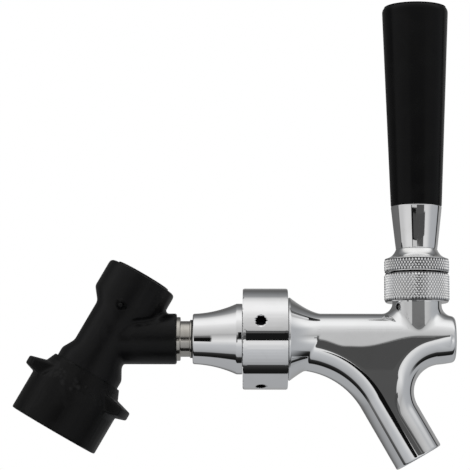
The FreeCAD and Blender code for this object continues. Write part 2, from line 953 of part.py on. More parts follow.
def faucet_body():
    """Cast body: barrel, spout and the neck that holds the lever, with its bores and seat."""
    neck_height = ball_joint_height + spigot_top
    neck = Part.makeCylinder(faucet_neck_radius, neck_height, Vector(handle_reach, 0, 0), Z)
    body = faucet_skin().fuse(web_and_spout()).fuse(neck)
    body = body.makeFillet(neck_fillet, neck_foot_edges(body))

    inlet = along_barrel(disc(inlet_radius, faucet_rear - overcut, seat_reach))
    bore = along_barrel(disc(bore_radius, seat_reach - overcut, bore_end))
    up_spout = spout_direction * -1
    spout_length = spout_end_drop / math.cos(math.radians(spout_lean))
    spout_mouth = spout_end + spout_direction * overcut
    spout_bore = Part.makeCylinder(spout_bore_radius, spout_length + overcut, spout_mouth, up_spout)
    socket = Part.makeCylinder(outlet_socket_radius, outlet_socket_depth + overcut, spout_mouth, up_spout)
    joint_bore = on_handle(disc(joint_bore_radius, -joint_floor, spigot_top + overcut))
    vent = Part.makeCylinder(vent_radius, faucet_neck_radius + overcut, ORIGIN, X)
    vent.rotate(ORIGIN, Z, vent_angle)
    vent.translate(Vector(handle_reach, 0, vent_height))
    for hollow in (inlet, bore, spout_bore, socket, joint_bore, tongue_slot(), vent):
        body = body.cut(hollow)
    return at_tap(body)


# Valve


def valve_shaft():
    """Shaft that the lever's tongue moves: tail, shoulder, fluted guide and yoke."""
    yoke_start = handle_reach - yoke_length / 2
    yoke_end = handle_reach + yoke_length / 2
    sliding_radius = bore_radius - running
    nut_back = seat_reach - seat_washer_thickness - seat_nut_thickness
    shaft = disc(shaft_radius, nut_back - shaft_tail, yoke_start + overcut)
    shaft = shaft.fuse(disc(shaft_shoulder_radius, seat_reach, seat_reach + shaft_shoulder_length))
    guide_start = seat_reach + guide_from_seat
    guide = disc(sliding_radius, guide_start, guide_start + guide_length)
    flats = Part.makeBox(
        guide_flat,
        guide_flat,
        guide_length,
        Vector(-guide_flat / 2, -guide_flat / 2, guide_start),
    )
    shaft = shaft.fuse(guide.common(flats)).fuse(disc(sliding_radius, yoke_start, yoke_end))
    shaft = along_barrel(shaft)
    hole = Part.makeCylinder(
        yoke_hole_radius,
        2 * bore_radius + 2 * overcut,
        Vector(handle_reach, 0, -bore_radius - overcut),
        Z,
    )
    flare = Part.makeCone(
        yoke_hole_radius,
        yoke_flare_radius,
        yoke_flare_depth,
        Vector(handle_reach, 0, bore_radius - yoke_flare_depth),
        Z,
    )
    return at_tap(shaft.cut(hole).cut(flare))


def seat_washer():
    """Rubber washer on the shaft, which closes the seat from behind."""
    washer = tube(
        seat_washer_radius,
        shaft_radius,
        seat_reach - seat_washer_thickness,
        seat_reach - running,
    )
    return at_tap(along_barrel(washer))


def seat_nut():
    """Nut that holds the seat washer on the shaft."""
    front = seat_reach - seat_washer_thickness
    first = Vector(seat_nut_radius, 0, front - seat_nut_thickness)
    turns = [FreeCAD.Rotation(Z, FULL_TURN * n / seat_nut_sides) for n in range(seat_nut_sides)]
    corners = [turn.multVec(first) for turn in turns] + [first]
    hexagon = Part.Face(Part.makePolygon(corners)).extrude(Z * seat_nut_thickness)
    bore = disc(shaft_radius, front - seat_nut_thickness - overcut, front + overcut)
    return at_tap(along_barrel(hexagon.cut(bore)))


# Lever and ball joint, drawn from the ball's centre


def lever():
    """Lever: threaded stem, neck, ball and the tapered tongue that moves the shaft."""
    tip = -ball_joint_height
    tip_join = tip + math.sqrt(tongue_ball_radius ** 2 - tongue_tip_radius ** 2)
    tongue_join = -math.sqrt(lever_ball_radius ** 2 - tongue_radius ** 2)
    neck_join = math.sqrt(lever_ball_radius ** 2 - lever_neck_radius ** 2)
    stem_start = lever_neck_top + stem_radius - lever_neck_radius
    return at_tap(on_handle(turned([
        (0, tip - tongue_ball_radius),
        ((tongue_ball_radius, tip), (tongue_tip_radius, tip_join)),
        (tongue_radius, tongue_join),
        ((lever_ball_radius, 0), (lever_neck_radius, neck_join)),
        (lever_neck_radius, lever_neck_top),
        (stem_radius, stem_start),
        (stem_radius, stem_top - stem_chamfer),
        (stem_radius - stem_chamfer, stem_top),
        (0, stem_top),
    ])))


def ball_washer():
    """Lower seat of the ball, on the floor of the joint's bore."""
    ring = tube(
        joint_bore_radius - running,
        ball_washer_radius,
        -joint_floor,
        ball_washer_height - joint_floor,
    )
    return at_tap(on_handle(ring.cut(ball(lever_ball_radius + ball_joint_gap))))


def friction_washer():
    """Upper seat of the ball, pressed down by the bonnet, which sets the lever's friction."""
    ring = tube(
        faucet_neck_radius,
        bonnet_throat_radius - free_gap,
        spigot_top,
        spigot_top + friction_washer_height,
    )
    return at_tap(on_handle(ring.cut(ball(lever_ball_radius + ball_joint_gap))))


def bonnet():
    """Knurled bonnet, screwed over the body's neck, with an open mouth for the lever."""
    throat = spigot_top + friction_washer_height + seat_gap
    return at_tap(on_handle(turned([
        (faucet_neck_radius + thread_gap, -bonnet_bottom),
        (bonnet_radius - bonnet_edge, -bonnet_bottom),
        (bonnet_radius, bonnet_edge - bonnet_bottom),
        (bonnet_radius, bonnet_top),
        (bonnet_mouth_radius, bonnet_top),
        (bonnet_throat_radius, throat),
        (faucet_neck_radius + thread_gap, throat),
    ])))


# Handle


def lever_collar():
    """Knurled collar on the stem, hollowed as a ball so that it tilts over the bonnet."""
    hollow_radius = math.hypot(bonnet_radius, bonnet_top) + collar_gap
    rim = math.sqrt(hollow_radius ** 2 - lever_collar_radius ** 2)
    edge = (lever_collar_radius, lever_collar_edge)
    foot = (ferrule_foot_radius, lever_collar_top)
    hub_top = lever_collar_top + lever_hub_length
    collar = turned([
        (0, rim),
        (lever_collar_radius, rim),
        edge,
        (bulged(edge, foot, -lever_collar_sag), foot),
        (lever_hub_radius, lever_collar_top),
        (lever_hub_radius, hub_top),
        (0, hub_top),
    ])
    stem_way = disc(stem_radius + thread_gap, 0, hub_top + overcut)
    return at_tap(on_handle(collar.cut(ball(hollow_radius)).cut(stem_way)))


def handle_ferrule():
    """Chrome ferrule between the collar and the grip."""
    bottom = lever_collar_top
    top = bottom + ferrule_length
    shoulder = bottom + lever_hub_length + seat_gap
    return at_tap(on_handle(turned([
        (lever_hub_radius + thread_gap, bottom),
        (ferrule_foot_radius, bottom),
        (ferrule_top_radius, top),
        (ferrule_bore_radius, top),
        (ferrule_bore_radius, shoulder),
        (lever_hub_radius + thread_gap, shoulder),
    ])))


def handle_insert():
    """Brass insert in the grip, screwed on the lever's stem."""
    bottom = lever_collar_top + ferrule_length
    insert = disc(grip_insert_radius, bottom, bottom + grip_insert_length)
    bore = disc(stem_radius + thread_gap, bottom - overcut, stem_top + grip_bore_spare)
    return at_tap(on_handle(insert.cut(bore)))


def handle_grip():
    """Tapered black grip with a rounded, slightly domed top."""
    bottom = lever_collar_top + ferrule_length
    top = bottom + grip_length
    shoulder = top - grip_dome
    corner_start, corner_arc = rounded((grip_top_radius, shoulder), (0, 1), (-1, 0), grip_corner)
    _, corner_end = corner_arc
    grip = turned([
        (0, bottom),
        (grip_foot_radius - grip_foot_round, bottom),
        (grip_foot_radius, bottom + grip_foot_round),
        corner_start,
        corner_arc,
        (domed(corner_end, top), (0, top)),
    ])
    pocket = disc(grip_insert_radius + seat_gap, bottom - overcut, bottom + grip_insert_length + seat_gap)
    return at_tap(on_handle(grip.cut(pocket)))


parts = {
    "disconnect_body": disconnect_body(),
    "disconnect_cap": disconnect_cap(),
    "cap_o_ring": cap_o_ring(),
    "poppet": poppet(),
    "poppet_seal": poppet_seal(),
    "poppet_spring": poppet_spring(),
    "collar_stop_ring": collar_stop_ring(),
    "lock_collar": lock_collar(),
    "collar_spring": collar_spring(),
    "flare_insert": flare_insert(),
    "flare_washer": flare_washer(),
    "adapter": adapter(),
    "retaining_ring": retaining_ring(),
    "coupling_nut": coupling_nut(),
    "coupling_washer": coupling_washer(),
    "faucet_body": faucet_body(),
    "valve_shaft": valve_shaft(),
    "seat_washer": seat_washer(),
    "seat_nut": seat_nut(),
    "lever": lever(),
    "ball_washer": ball_washer(),
    "friction_washer": friction_washer(),
    "bonnet": bonnet(),
    "lever_collar": lever_collar(),
    "handle_ferrule": handle_ferrule(),
    "handle_insert": handle_insert(),
    "handle_grip": handle_grip(),
}
for number, angle in enumerate(ball_angles(), start=1):
    parts[f"lock_ball_{number}"] = lock_ball(angle)

os.makedirs("parts", exist_ok=True)
for name, shape in parts.items():
    shape.exportStep(f"parts/{name}.step")
    box = shape.BoundBox
    print(f"{name:18s} solids {len(shape.Solids)} volume {shape.Volume:9.1f} "
          f"x {box.XMin:7.2f} {box.XMax:7.2f} z {box.ZMin:7.2f} {box.ZMax:7.2f} valid {shape.isValid()}")
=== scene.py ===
"""Looks of a beer tap with its quick disconnect.

Lengths are in millimetres, as a fitter would measure them: the barrel's from the point
where it crosses the disconnect, the handle's from the lever's ball, and the disconnect's
from its mouth. They become metres only when a piece is put in its place.
"""

import logging
import math
from dataclasses import dataclass, replace
from enum import Enum
from typing import Callable

import bpy
import numpy as np
from mathutils import Matrix, Vector


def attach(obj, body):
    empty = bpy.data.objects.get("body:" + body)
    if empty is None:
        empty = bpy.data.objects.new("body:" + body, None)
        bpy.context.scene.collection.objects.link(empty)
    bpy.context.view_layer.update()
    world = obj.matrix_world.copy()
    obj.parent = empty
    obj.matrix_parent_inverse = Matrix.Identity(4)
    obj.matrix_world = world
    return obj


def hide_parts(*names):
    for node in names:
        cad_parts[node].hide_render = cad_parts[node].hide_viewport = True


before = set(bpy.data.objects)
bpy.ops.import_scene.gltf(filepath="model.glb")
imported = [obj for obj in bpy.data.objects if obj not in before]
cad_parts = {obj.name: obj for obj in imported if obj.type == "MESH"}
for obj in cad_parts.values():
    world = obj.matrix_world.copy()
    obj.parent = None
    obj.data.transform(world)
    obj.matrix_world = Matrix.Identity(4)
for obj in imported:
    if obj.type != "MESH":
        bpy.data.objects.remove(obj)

MM = 0.001
AROUND = 256  # vertices round each ring of a turned piece
TINY = 1.0e-9  # least length that anything is divided by
FAR_AWAY = 1.0e3  # what a field says where its form can't be
MIRRORED = 0.87  # share of the light that the chrome gives back

Triple = tuple[float, float, float]
Colour = tuple[float, float, float]
Samples = tuple[np.ndarray, np.ndarray]
Field = Callable[[np.ndarray], Samples]

ORIGIN: Triple = (0.0, 0.0, 0.0)
UP: Triple = (0.0, 0.0, 1.0)
ALONG_BARREL: Triple = (1.0, 0.0, 0.0)
ALONG_DISCONNECT: Triple = (0.5, 0.0, 0.8660254)
ALONG_ARM: Triple = (0.8660254, 0.0, 0.5)

log = logging.getLogger("beer tap")


def linear(code: float) -> float:
    """Light level of a grey that a screen shows with this 0 to 255 code."""
    part = code / 255.0
    return part / 12.92 if part <= 0.04045 else ((part + 0.055) / 1.055) ** 2.4


def grey(code: float, tint: float = 0.0) -> Colour:
    """Light that shows as a screen code in the chrome.

    Args:
        code: the code, 0 to 255.
        tint: positive for warmer, negative for cooler.

    Returns:
        The light's colour.
    """
    level = min(1.0, linear(code) / MIRRORED)
    return (level * (1 + tint), level, level * (1 - 1.5 * tint))


def unit_of(way: Triple) -> np.ndarray:
    """The same way with a length of 1."""
    return np.array(way, float) / np.linalg.norm(way)


class CentreLine(Enum):
    """Straight lines that the pieces are measured from: start, way along, way to the side."""

    CROSSING = ((16.8, 0.0, 29.0985), (0.0, 0.0, 1.0), (1.0, 0.0, 0.0))
    BARREL = ((16.8, 0.0, 29.0985), (1.0, 0.0, 0.0), (0.0, 0.0, 1.0))
    HANDLE = ((140.4, 0.0, 48.0985), (0.0, 0.0, 1.0), (1.0, 0.0, 0.0))
    DISCONNECT = ((-4.2, 0.0, -7.27461), (0.5, 0.0, 0.8660254), (0.8660254, 0.0, -0.5))

    def turn(self) -> np.ndarray:
        """Rows: the side, across and along ways of this line."""
        _, along, side = (np.array(part) for part in self.value)
        return np.stack([side, np.cross(along, side), along])

    def place(self, points: np.ndarray) -> np.ndarray:
        """Points given as (side, across, along) in the object's own frame.

        Args:
            points: rows of millimetres from the line's start.

        Returns:
            The same points in metres.
        """
        return (points @ self.turn() + np.array(self.value[0])) * MM


# Meshes


def mesh_object(name: str, points: np.ndarray, faces: np.ndarray | list,
                smooth: bool = True) -> bpy.types.Object:
    """New object with a mesh whose faces point outwards.

    Args:
        name: the piece's name.
        points: vertices in metres.
        faces: vertex numbers of each face.
        smooth: whether its shading runs over the faces' edges.

    Returns:
        The object, linked to the scene.
    """
    mesh = bpy.data.meshes.new(name)
    mesh.from_pydata(points.tolist(), [], [list(map(int, face)) for face in faces])
    mesh.validate()
    made = bpy.data.objects.new(name, mesh)
    bpy.context.scene.collection.objects.link(made)
    mesh.polygons.foreach_set("use_smooth", [smooth] * len(mesh.polygons))
    mesh.update()
    return made


def enclosed(points: np.ndarray, quads: np.ndarray) -> float:
    """Volume inside closed quads, negative where they point inwards."""
    a, b, c, d = (points[quads[:, n]] for n in range(4))
    halves = np.einsum("ij,ij->i", a, np.cross(b, c)) + np.einsum("ij,ij->i", a, np.cross(c, d))
    return float(halves.sum() / 6.0)


@dataclass(frozen=True)
class Corner:
    """A corner of a turned outline.

    Attributes:
        radius: distance from the centre line.
        along: place along the centre line.
        soft: how far the rounding reaches along both runs.
        sag: how far the run to the next corner bulges away from the metal.
    """

    radius: float
    along: float
    soft: float = 0.0
    sag: float = 0.0

    def spot(self) -> np.ndarray:
        """The corner as a pair (radius, along)."""
        return np.array([self.radius, self.along])


def run_between(start: Corner, end: Corner, step: float) -> np.ndarray:
    """Points of the run from one corner to the next, cut back for their roundings.

    Args:
        start: the corner that the run leaves.
        end: the corner that it reaches.
        step: longest distance between two points.

    Returns:
        Pairs (radius, along), with a close pair next to each corner, which keeps the
        shading of a long wall flat up to its edge.
    """
    first, last = start.spot(), end.spot()
    length = float(np.linalg.norm(last - first))
    unit = (last - first) / length
    outward = np.array([unit[1], -unit[0]])
    from_here, to_here = start.soft, length - end.soft
    guard = min(0.06, 0.3 * (to_here - from_here))
    middle = np.linspace(from_here + guard, to_here - guard, max(2, math.ceil(length / step) + 1))
    at = np.concatenate([[from_here], middle, [to_here]]) / length
    return first + np.outer(at, last - first) + np.outer(4 * start.sag * at * (1 - at), outward)


def drawn(corners: list[Corner], step: float = 1.2, round_steps: int = 6) -> tuple[np.ndarray, bool]:
    """Outline through the corners with its edges rounded.

    Args:
        corners: in order, the outer wall upwards first. It is a loop, unless it starts
            and ends on the centre line.
        step: longest distance between two points of a run.
        round_steps: steps over each rounding.

    Returns:
        The points (radius, along), and whether they close in a loop.
    """
    loop = not (corners[0].radius == 0.0 and corners[-1].radius == 0.0)
    count = len(corners)
    last_run = count if loop else count - 1
    runs = [run_between(corners[n], corners[(n + 1) % count], step) for n in range(last_run)]
    points: list[np.ndarray] = []
    for n, run in enumerate(runs):
        before = runs[n - 1][-1] if (loop or n > 0) else None
        if before is not None and corners[n].soft > 0.0:
            bend = corners[n].spot()
            for t in np.linspace(0, 1, round_steps + 1)[1:-1]:
                points.append(before * (1 - t) ** 2 + bend * 2 * t * (1 - t) + run[0] * t ** 2)
        points.extend(run)
    outline = np.array(points)
    keep = np.ones(len(outline), bool)
    keep[1:] = np.linalg.norm(np.diff(outline, axis=0), axis=1) > 1e-6
    outline = outline[keep]
    if loop and np.linalg.norm(outline[0] - outline[-1]) < 1e-6:
        outline = outline[:-1]
    return outline, loop


def turned(name: str, corners: list[Corner], line: CentreLine, step: float = 1.2) -> bpy.types.Object:
    """Closed turned piece.

    Args:
        name: the piece's name.
        corners: its outline.
        line: the line that it turns about.
        step: longest distance between two rings of a wall.

    Returns:
        The object, in place.
    """
    outline, loop = drawn(corners, step)
    rings = outline if loop else outline[1:-1]
    angle = np.arange(AROUND) * (2 * math.pi / AROUND)
    points = np.stack([
        np.outer(rings[:, 0], np.cos(angle)),
        np.outer(rings[:, 0], np.sin(angle)),
        np.repeat(rings[:, 1][:, None], AROUND, axis=1),
    ], axis=-1).reshape(-1, 3)
    row = np.arange(len(rings) if loop else len(rings) - 1)
    column = np.arange(AROUND)
    here, beside = np.meshgrid(row, column, indexing="ij")
    after, next_row = (beside + 1) % AROUND, (here + 1) % len(rings)
    quads = np.stack([
        here * AROUND + beside, here * AROUND + after,
        next_row * AROUND + after, next_row * AROUND + beside,
    ], axis=-1).reshape(-1, 4)
    faces: list[list[int]] = quads.tolist()
    if not loop:
        low, high = len(points), len(points) + 1
        points = np.vstack([points, [0, 0, outline[0, 1]], [0, 0, outline[-1, 1]]])
        top = (len(rings) - 1) * AROUND
        faces += [[low, (n + 1) % AROUND, n] for n in range(AROUND)]
        faces += [[high, top + n, top + (n + 1) % AROUND] for n in range(AROUND)]
    if enclosed(points, quads) < 0:
        faces = [face[::-1] for face in faces]
    return mesh_object(name, line.place(points), faces)


# Cast and moulded forms, written as distance fields: each gives how far a point is
# outside the form and the way out


def plane(way: Triple, reach: float) -> Field:
    """Everything that lies less than reach far along a way."""
    normal = unit_of(way)

    def field(points: np.ndarray) -> Samples:
        return points @ normal - reach, np.broadcast_to(normal, points.shape)

    return field


def rod(start: Triple, way: Triple, radius: float) -> Field:
    """Endless round rod through a point."""
    normal, foot = unit_of(way), np.array(start, float)

    def field(points: np.ndarray) -> Samples:
        off = points - foot
        off = off - np.outer(off @ normal, normal)
        far = np.maximum(np.linalg.norm(off, axis=1), TINY)
        return far - radius, off / far[:, None]

    return field


def box(middle: Triple, half: Triple) -> Field:
    """Block with its sides along the frame's."""
    centre, reach = np.array(middle, float), np.array(half, float)

    def field(points: np.ndarray) -> Samples:
        off = points - centre
        past = np.abs(off) - reach
        side = past.argmax(axis=1)
        rows = np.arange(len(points))
        way = np.zeros_like(points)
        way[rows, side] = np.sign(off[rows, side])
        return past[rows, side], way

    return field


def turned_form(corners: list[Corner], start: Triple = ORIGIN, way: Triple = UP, round_steps: int = 6) -> Field:
    """Form of a turned outline.

    Args:
        corners: its outline.
        start: where the outline's own zero lies.
        way: the line that it turns about.
        round_steps: steps over each rounding.

    Returns:
        The distance field.
    """
    outline = drawn(corners, step=4.0, round_steps=round_steps)[0]
    outline = np.vstack([outline, outline[:1]])
    normal, foot = unit_of(way), np.array(start, float)

    def field(points: np.ndarray) -> Samples:
        off = points - foot
        along = off @ normal
        across = off - np.outer(along, normal)
        radius = np.maximum(np.linalg.norm(across, axis=1), TINY)
        best = np.full(len(points), np.inf)
        out_r, out_a = np.ones(len(points)), np.zeros(len(points))
        inside = np.zeros(len(points), bool)
        for (r0, a0), (r1, a1) in zip(outline[:-1], outline[1:]):
            dr, da = r1 - r0, a1 - a0
            if a0 != a1:
                spans = (a0 > along) != (a1 > along)
                inside ^= spans & (radius < r0 + dr * (along - a0) / da)
            if r0 < TINY and r1 < TINY:
                continue
            t = np.clip(((radius - r0) * dr + (along - a0) * da) / (dr * dr + da * da), 0, 1)
            er, ea = radius - (r0 + t * dr), along - (a0 + t * da)
            far = er * er + ea * ea
            nearer = far < best
            best = np.where(nearer, far, best)
            out_r, out_a = np.where(nearer, er, out_r), np.where(nearer, ea, out_a)
        best = np.sqrt(best)
        sign = np.where(inside, -1.0, 1.0)
        scale = sign / np.maximum(best, TINY)
        way_out = across / radius[:, None] * (out_r * scale)[:, None] + np.outer(out_a * scale, normal)
        return best * sign, way_out

    return field


def join(radius: float | Callable[[np.ndarray], np.ndarray], first: Field, second: Field) -> Field:
    """Both forms, with the hollow that a ball of this radius leaves where they meet.

    Args:
        radius: the hollow's radius, or a function that gives it at each point.
        first: one form.
        second: the other.

    Returns:
        The field of the two together.
    """

    def field(points: np.ndarray) -> Samples:
        a, way_a = first(points)
        b, way_b = second(points)
        nearer = a < b
        value, way = np.where(nearer, a, b), np.where(nearer[:, None], way_a, way_b)
        if not callable(radius) and radius <= 0.0:
            return value, way
        ball = radius(points) if callable(radius) else np.full(len(points), radius)
        cosine = np.einsum("ij,ij->i", way_a, way_b)
        spread = np.maximum(1 - cosine ** 2, 1e-4)
        u, v = a - ball, b - ball
        alpha, beta = (u - cosine * v) / spread, (v - cosine * u) / spread
        span = np.sqrt(np.maximum(u * alpha + v * beta, 1e-12))
        inside = (alpha < 0) & (beta < 0) & (spread > 2e-4) & (ball > 0)
        ball_way = -(alpha[:, None] * way_a + beta[:, None] * way_b) / span[:, None]
        return np.where(inside, ball - span, value), np.where(inside[:, None], ball_way, way)

    return field


def inverse(form: Field) -> Field:
    """Everything outside a form."""

    def field(points: np.ndarray) -> Samples:
        value, way = form(points)
        return -value, -way

    return field


def meet(radius: float, first: Field, second: Field) -> Field:
    """What two forms share, with its edge rounded."""
    return inverse(join(radius, inverse(first), inverse(second)))


def cut(radius: float, form: Field, tool: Field) -> Field:
    """A form less a tool, with the rim rounded."""
    return meet(radius, form, inverse(tool))


def several(*forms: Field) -> Field:
    """All of these forms together, with plain edges between them."""
    whole = forms[0]
    for form in forms[1:]:
        whole = join(0.0, whole, form)
    return whole


def bar(start: Triple, way: Triple, radius: float, length: float) -> Field:
    """Round bar of a given length."""
    unit = unit_of(way)
    from_here = float(np.dot(start, unit))
    ends = meet(0.0, plane(tuple(-unit), -from_here), plane(tuple(unit), from_here + length))
    return meet(0.0, rod(start, way, radius), ends)


@dataclass(frozen=True)
class SkinMaker:
    """Turns a field into a closed mesh of even quads that lie on it.

    Attributes:
        low: lowest corner of the room that it searches.
        high: highest corner.
        cell: size of a quad.
        softening: how often the shading is evened out between neighbours.
    """

    low: Triple
    high: Triple
    cell: float
    softening: int = 2

    def values(self, form: Field) -> np.ndarray:
        """Field at the grid's points, worked out in full only near the surface."""
        coarse = 4
        counts = [math.ceil((h - l) / self.cell / coarse) for l, h in zip(self.low, self.high)]
        axes = [l + (np.arange(n) + 0.5) * self.cell * coarse for l, n in zip(self.low, counts)]
        blocks = np.stack(np.meshgrid(*axes, indexing="ij"), axis=-1).reshape(-1, 3)
        rough = form(blocks)[0].reshape(counts)
        for axis in range(3):
            rough = np.repeat(rough, coarse, axis=axis)
        near = np.abs(rough) < self.cell * coarse * 1.6
        spots = np.array(self.low) + (np.argwhere(near) + 0.5) * self.cell
        grid = rough.copy()
        grid[near] = form(spots)[0]
        return grid

    def skin(self, name: str, form: Field, line: CentreLine) -> bpy.types.Object:
        """Mesh on the field's zero.

        Args:
            name: the piece's name.
            form: its field.
            line: the line that its lengths are measured from.

        Returns:
            The object, with the field's own way out as its shading.
        """
        grid = self.values(form)
        full = grid < 0
        corner = np.zeros([n - 1 for n in grid.shape], np.int8)
        for i in (0, 1):
            for j in (0, 1):
                for k in (0, 1):
                    corner += full[i:full.shape[0] - 1 + i, j:full.shape[1] - 1 + j, k:full.shape[2] - 1 + k]
        cells = np.argwhere((corner > 0) & (corner < 8))
        number = np.full(corner.shape, -1, np.int64)
        number[tuple(cells.T)] = np.arange(len(cells))
        points = self.middles(grid, cells)
        quads = self.quads(full, number)
        for smoothing in range(3):
            if smoothing:
                points = self.evened(points, quads)
            points = self.settled(points, form)
        way = form(points)[1]
        for _ in range(self.softening):
            way = self.evened(way, quads)
        if enclosed(points, quads) < 0:
            quads = quads[:, ::-1]
        made = mesh_object(name, line.place(points), quads)
        normals = way @ line.turn()
        normals /= np.maximum(np.linalg.norm(normals, axis=1), TINY)[:, None]
        if len(made.data.vertices) == len(normals):
            made.data.normals_split_custom_set_from_vertices(normals.tolist())
        return made

    def middles(self, grid: np.ndarray, cells: np.ndarray) -> np.ndarray:
        """Middle of the places where the surface crosses each cell's edges."""
        total, hits = np.zeros((len(cells), 3)), np.zeros(len(cells))
        for axis in range(3):
            others = [n for n in range(3) if n != axis]
            for p in (0, 1):
                for q in (0, 1):
                    start = cells.copy()
                    start[:, others[0]] += p
                    start[:, others[1]] += q
                    end = start.copy()
                    end[:, axis] += 1
                    a, b = grid[tuple(start.T)], grid[tuple(end.T)]
                    crosses = (a < 0) != (b < 0)
                    t = np.where(crosses, a / np.where(crosses, a - b, 1.0), 0.0)
                    spot = start.astype(float)
                    spot[:, axis] += t
                    total += np.where(crosses[:, None], spot, 0.0)
                    hits += crosses
        return np.array(self.low) + (total / hits[:, None] + 0.5) * self.cell

    def quads(self, full: np.ndarray, number: np.ndarray) -> np.ndarray:
        """One quad round each grid edge that goes through the surface."""
        found = []
        for axis in range(3):
            u, v = (axis + 1) % 3, (axis + 2) % 3
            here = [slice(None)] * 3
            there = [slice(None)] * 3
            here[axis], there[axis] = slice(0, -1), slice(1, None)
            first, second = full[tuple(here)], full[tuple(there)]
            edges = np.argwhere(first != second)
            inside = (edges[:, u] > 0) & (edges[:, v] > 0)
            inside &= (edges[:, u] < full.shape[u] - 1) & (edges[:, v] < full.shape[v] - 1)
            edges = edges[inside]
            ring = []
            for du, dv in ((-1, -1), (0, -1), (0, 0), (-1, 0)):
                cell = edges.copy()
                cell[:, u] += du
                cell[:, v] += dv
                ring.append(number[tuple(cell.T)])
            loop = np.stack(ring, axis=1)
            outward = first[tuple(edges.T)]
            loop[~outward] = loop[~outward][:, ::-1]
            found.append(loop)
        return np.vstack(found)

    def evened(self, points: np.ndarray, quads: np.ndarray) -> np.ndarray:
        """Each point half way to the middle of its neighbours."""
        total, hits = np.zeros_like(points), np.zeros(len(points))
        for n in range(4):
            for m in (1, 3):
                other = quads[:, (n + m) % 4]
                for axis in range(3):
                    total[:, axis] += np.bincount(quads[:, n], points[other, axis], len(points))
                hits += np.bincount(quads[:, n], minlength=len(points))
        middle = total / np.maximum(hits, 1)[:, None]
        return (points + middle) / 2

    def settled(self, points: np.ndarray, form: Field) -> np.ndarray:
        """Points moved along the field's way until they lie on it."""
        for _ in range(4):
            value, way = form(points)
            step = np.clip(value, -self.cell, self.cell)
            points = points - way * step[:, None]
        return points


# Finishes


class Wiring:
    """Adds nodes to a tree and joins them."""

    def __init__(self, tree: bpy.types.NodeTree) -> None:
        """Starts work on a tree."""
        self.tree = tree

    def node(self, kind: str, inputs: dict | None = None, **settings: object) -> bpy.types.Node:
        """New node.

        Args:
            kind: its type.
            inputs: sockets by name, each given a value or another node's output.
            settings: its other properties.

        Returns:
            The node.
        """
        made = self.tree.nodes.new(kind)
        for name, value in settings.items():
            setattr(made, name, value)
        for name, value in (inputs or {}).items():
            self.feed(made.inputs[name], value)
        return made

    def feed(self, socket: bpy.types.NodeSocket, value: object) -> None:
        """Gives a socket a value or joins it to an output."""
        if isinstance(value, bpy.types.NodeSocket):
            self.tree.links.new(value, socket)
        else:
            socket.default_value = value

    def math(self, operation: str, *values: object, clamp: bool = False) -> bpy.types.NodeSocket:
        """Result of a sum or function of numbers and outputs."""
        made = self.tree.nodes.new("ShaderNodeMath")
        made.operation, made.use_clamp = operation, clamp
        for socket, value in zip(made.inputs, values):
            self.feed(socket, value)
        return made.outputs[0]

    def vector(self, operation: str, *values: object, output: str = "Vector") -> bpy.types.NodeSocket:
        """Result of a vector operation."""
        return self.node("ShaderNodeVectorMath", dict(enumerate(values)), operation=operation).outputs[output]

    def spot(self) -> bpy.types.NodeSocket:
        """The shaded point, in the object's own frame."""
        return self.node("ShaderNodeTexCoord").outputs["Object"]

    def glow(self, colour: object) -> None:
        """Makes the material shine in a colour, whatever lights it."""
        light = self.node("ShaderNodeEmission", {"Color": colour, "Strength": 1.0})
        self.node("ShaderNodeOutputMaterial", {"Surface": light.outputs[0]})

    def between(self, value: object, low: float, high: float, to_low: float, to_high: float,
                soft: bool = True) -> bpy.types.NodeSocket:
        """A range of one value mapped to another range."""
        made = self.node("ShaderNodeMapRange", {
            "Value": value, "From Min": low, "From Max": high, "To Min": to_low, "To Max": to_high,
        }, interpolation_type="SMOOTHSTEP" if soft else "LINEAR")
        return made.outputs["Result"]

    def mix(self, share: object, first: object, second: object) -> bpy.types.NodeSocket:
        """Blend of two colours."""
        made = self.tree.nodes.new("ShaderNodeMix")
        made.data_type = "RGBA"
        self.feed(made.inputs[0], share)
        self.feed(made.inputs[6], first)
        self.feed(made.inputs[7], second)
        return made.outputs[2]

    def ramp(self, value: object, stops: list[tuple[float, Colour]]) -> bpy.types.NodeSocket:
        """Colour read from a strip of stops."""
        made = self.node("ShaderNodeValToRGB", {"Fac": value})
        made.color_ramp.elements.remove(made.color_ramp.elements[-1])
        for n, (at, colour) in enumerate(stops):
            stop = made.color_ramp.elements[0] if n == 0 else made.color_ramp.elements.new(at)
            stop.position, stop.color = at, (*colour, 1.0)
        return made.outputs["Color"]


def bare_material(name: str) -> tuple[bpy.types.Material, Wiring]:
    """New material with an empty tree, and the wiring that fills it."""
    made = bpy.data.materials.new(name)
    made.use_nodes = True
    made.node_tree.nodes.clear()
    return made, Wiring(made.node_tree)


class Effect(Enum):
    """Surface effects that several finishes share."""

    GRAIN = "Moulded grain"
    TURNING = "Turning lines"
    HANDLING = "Marks of handling"


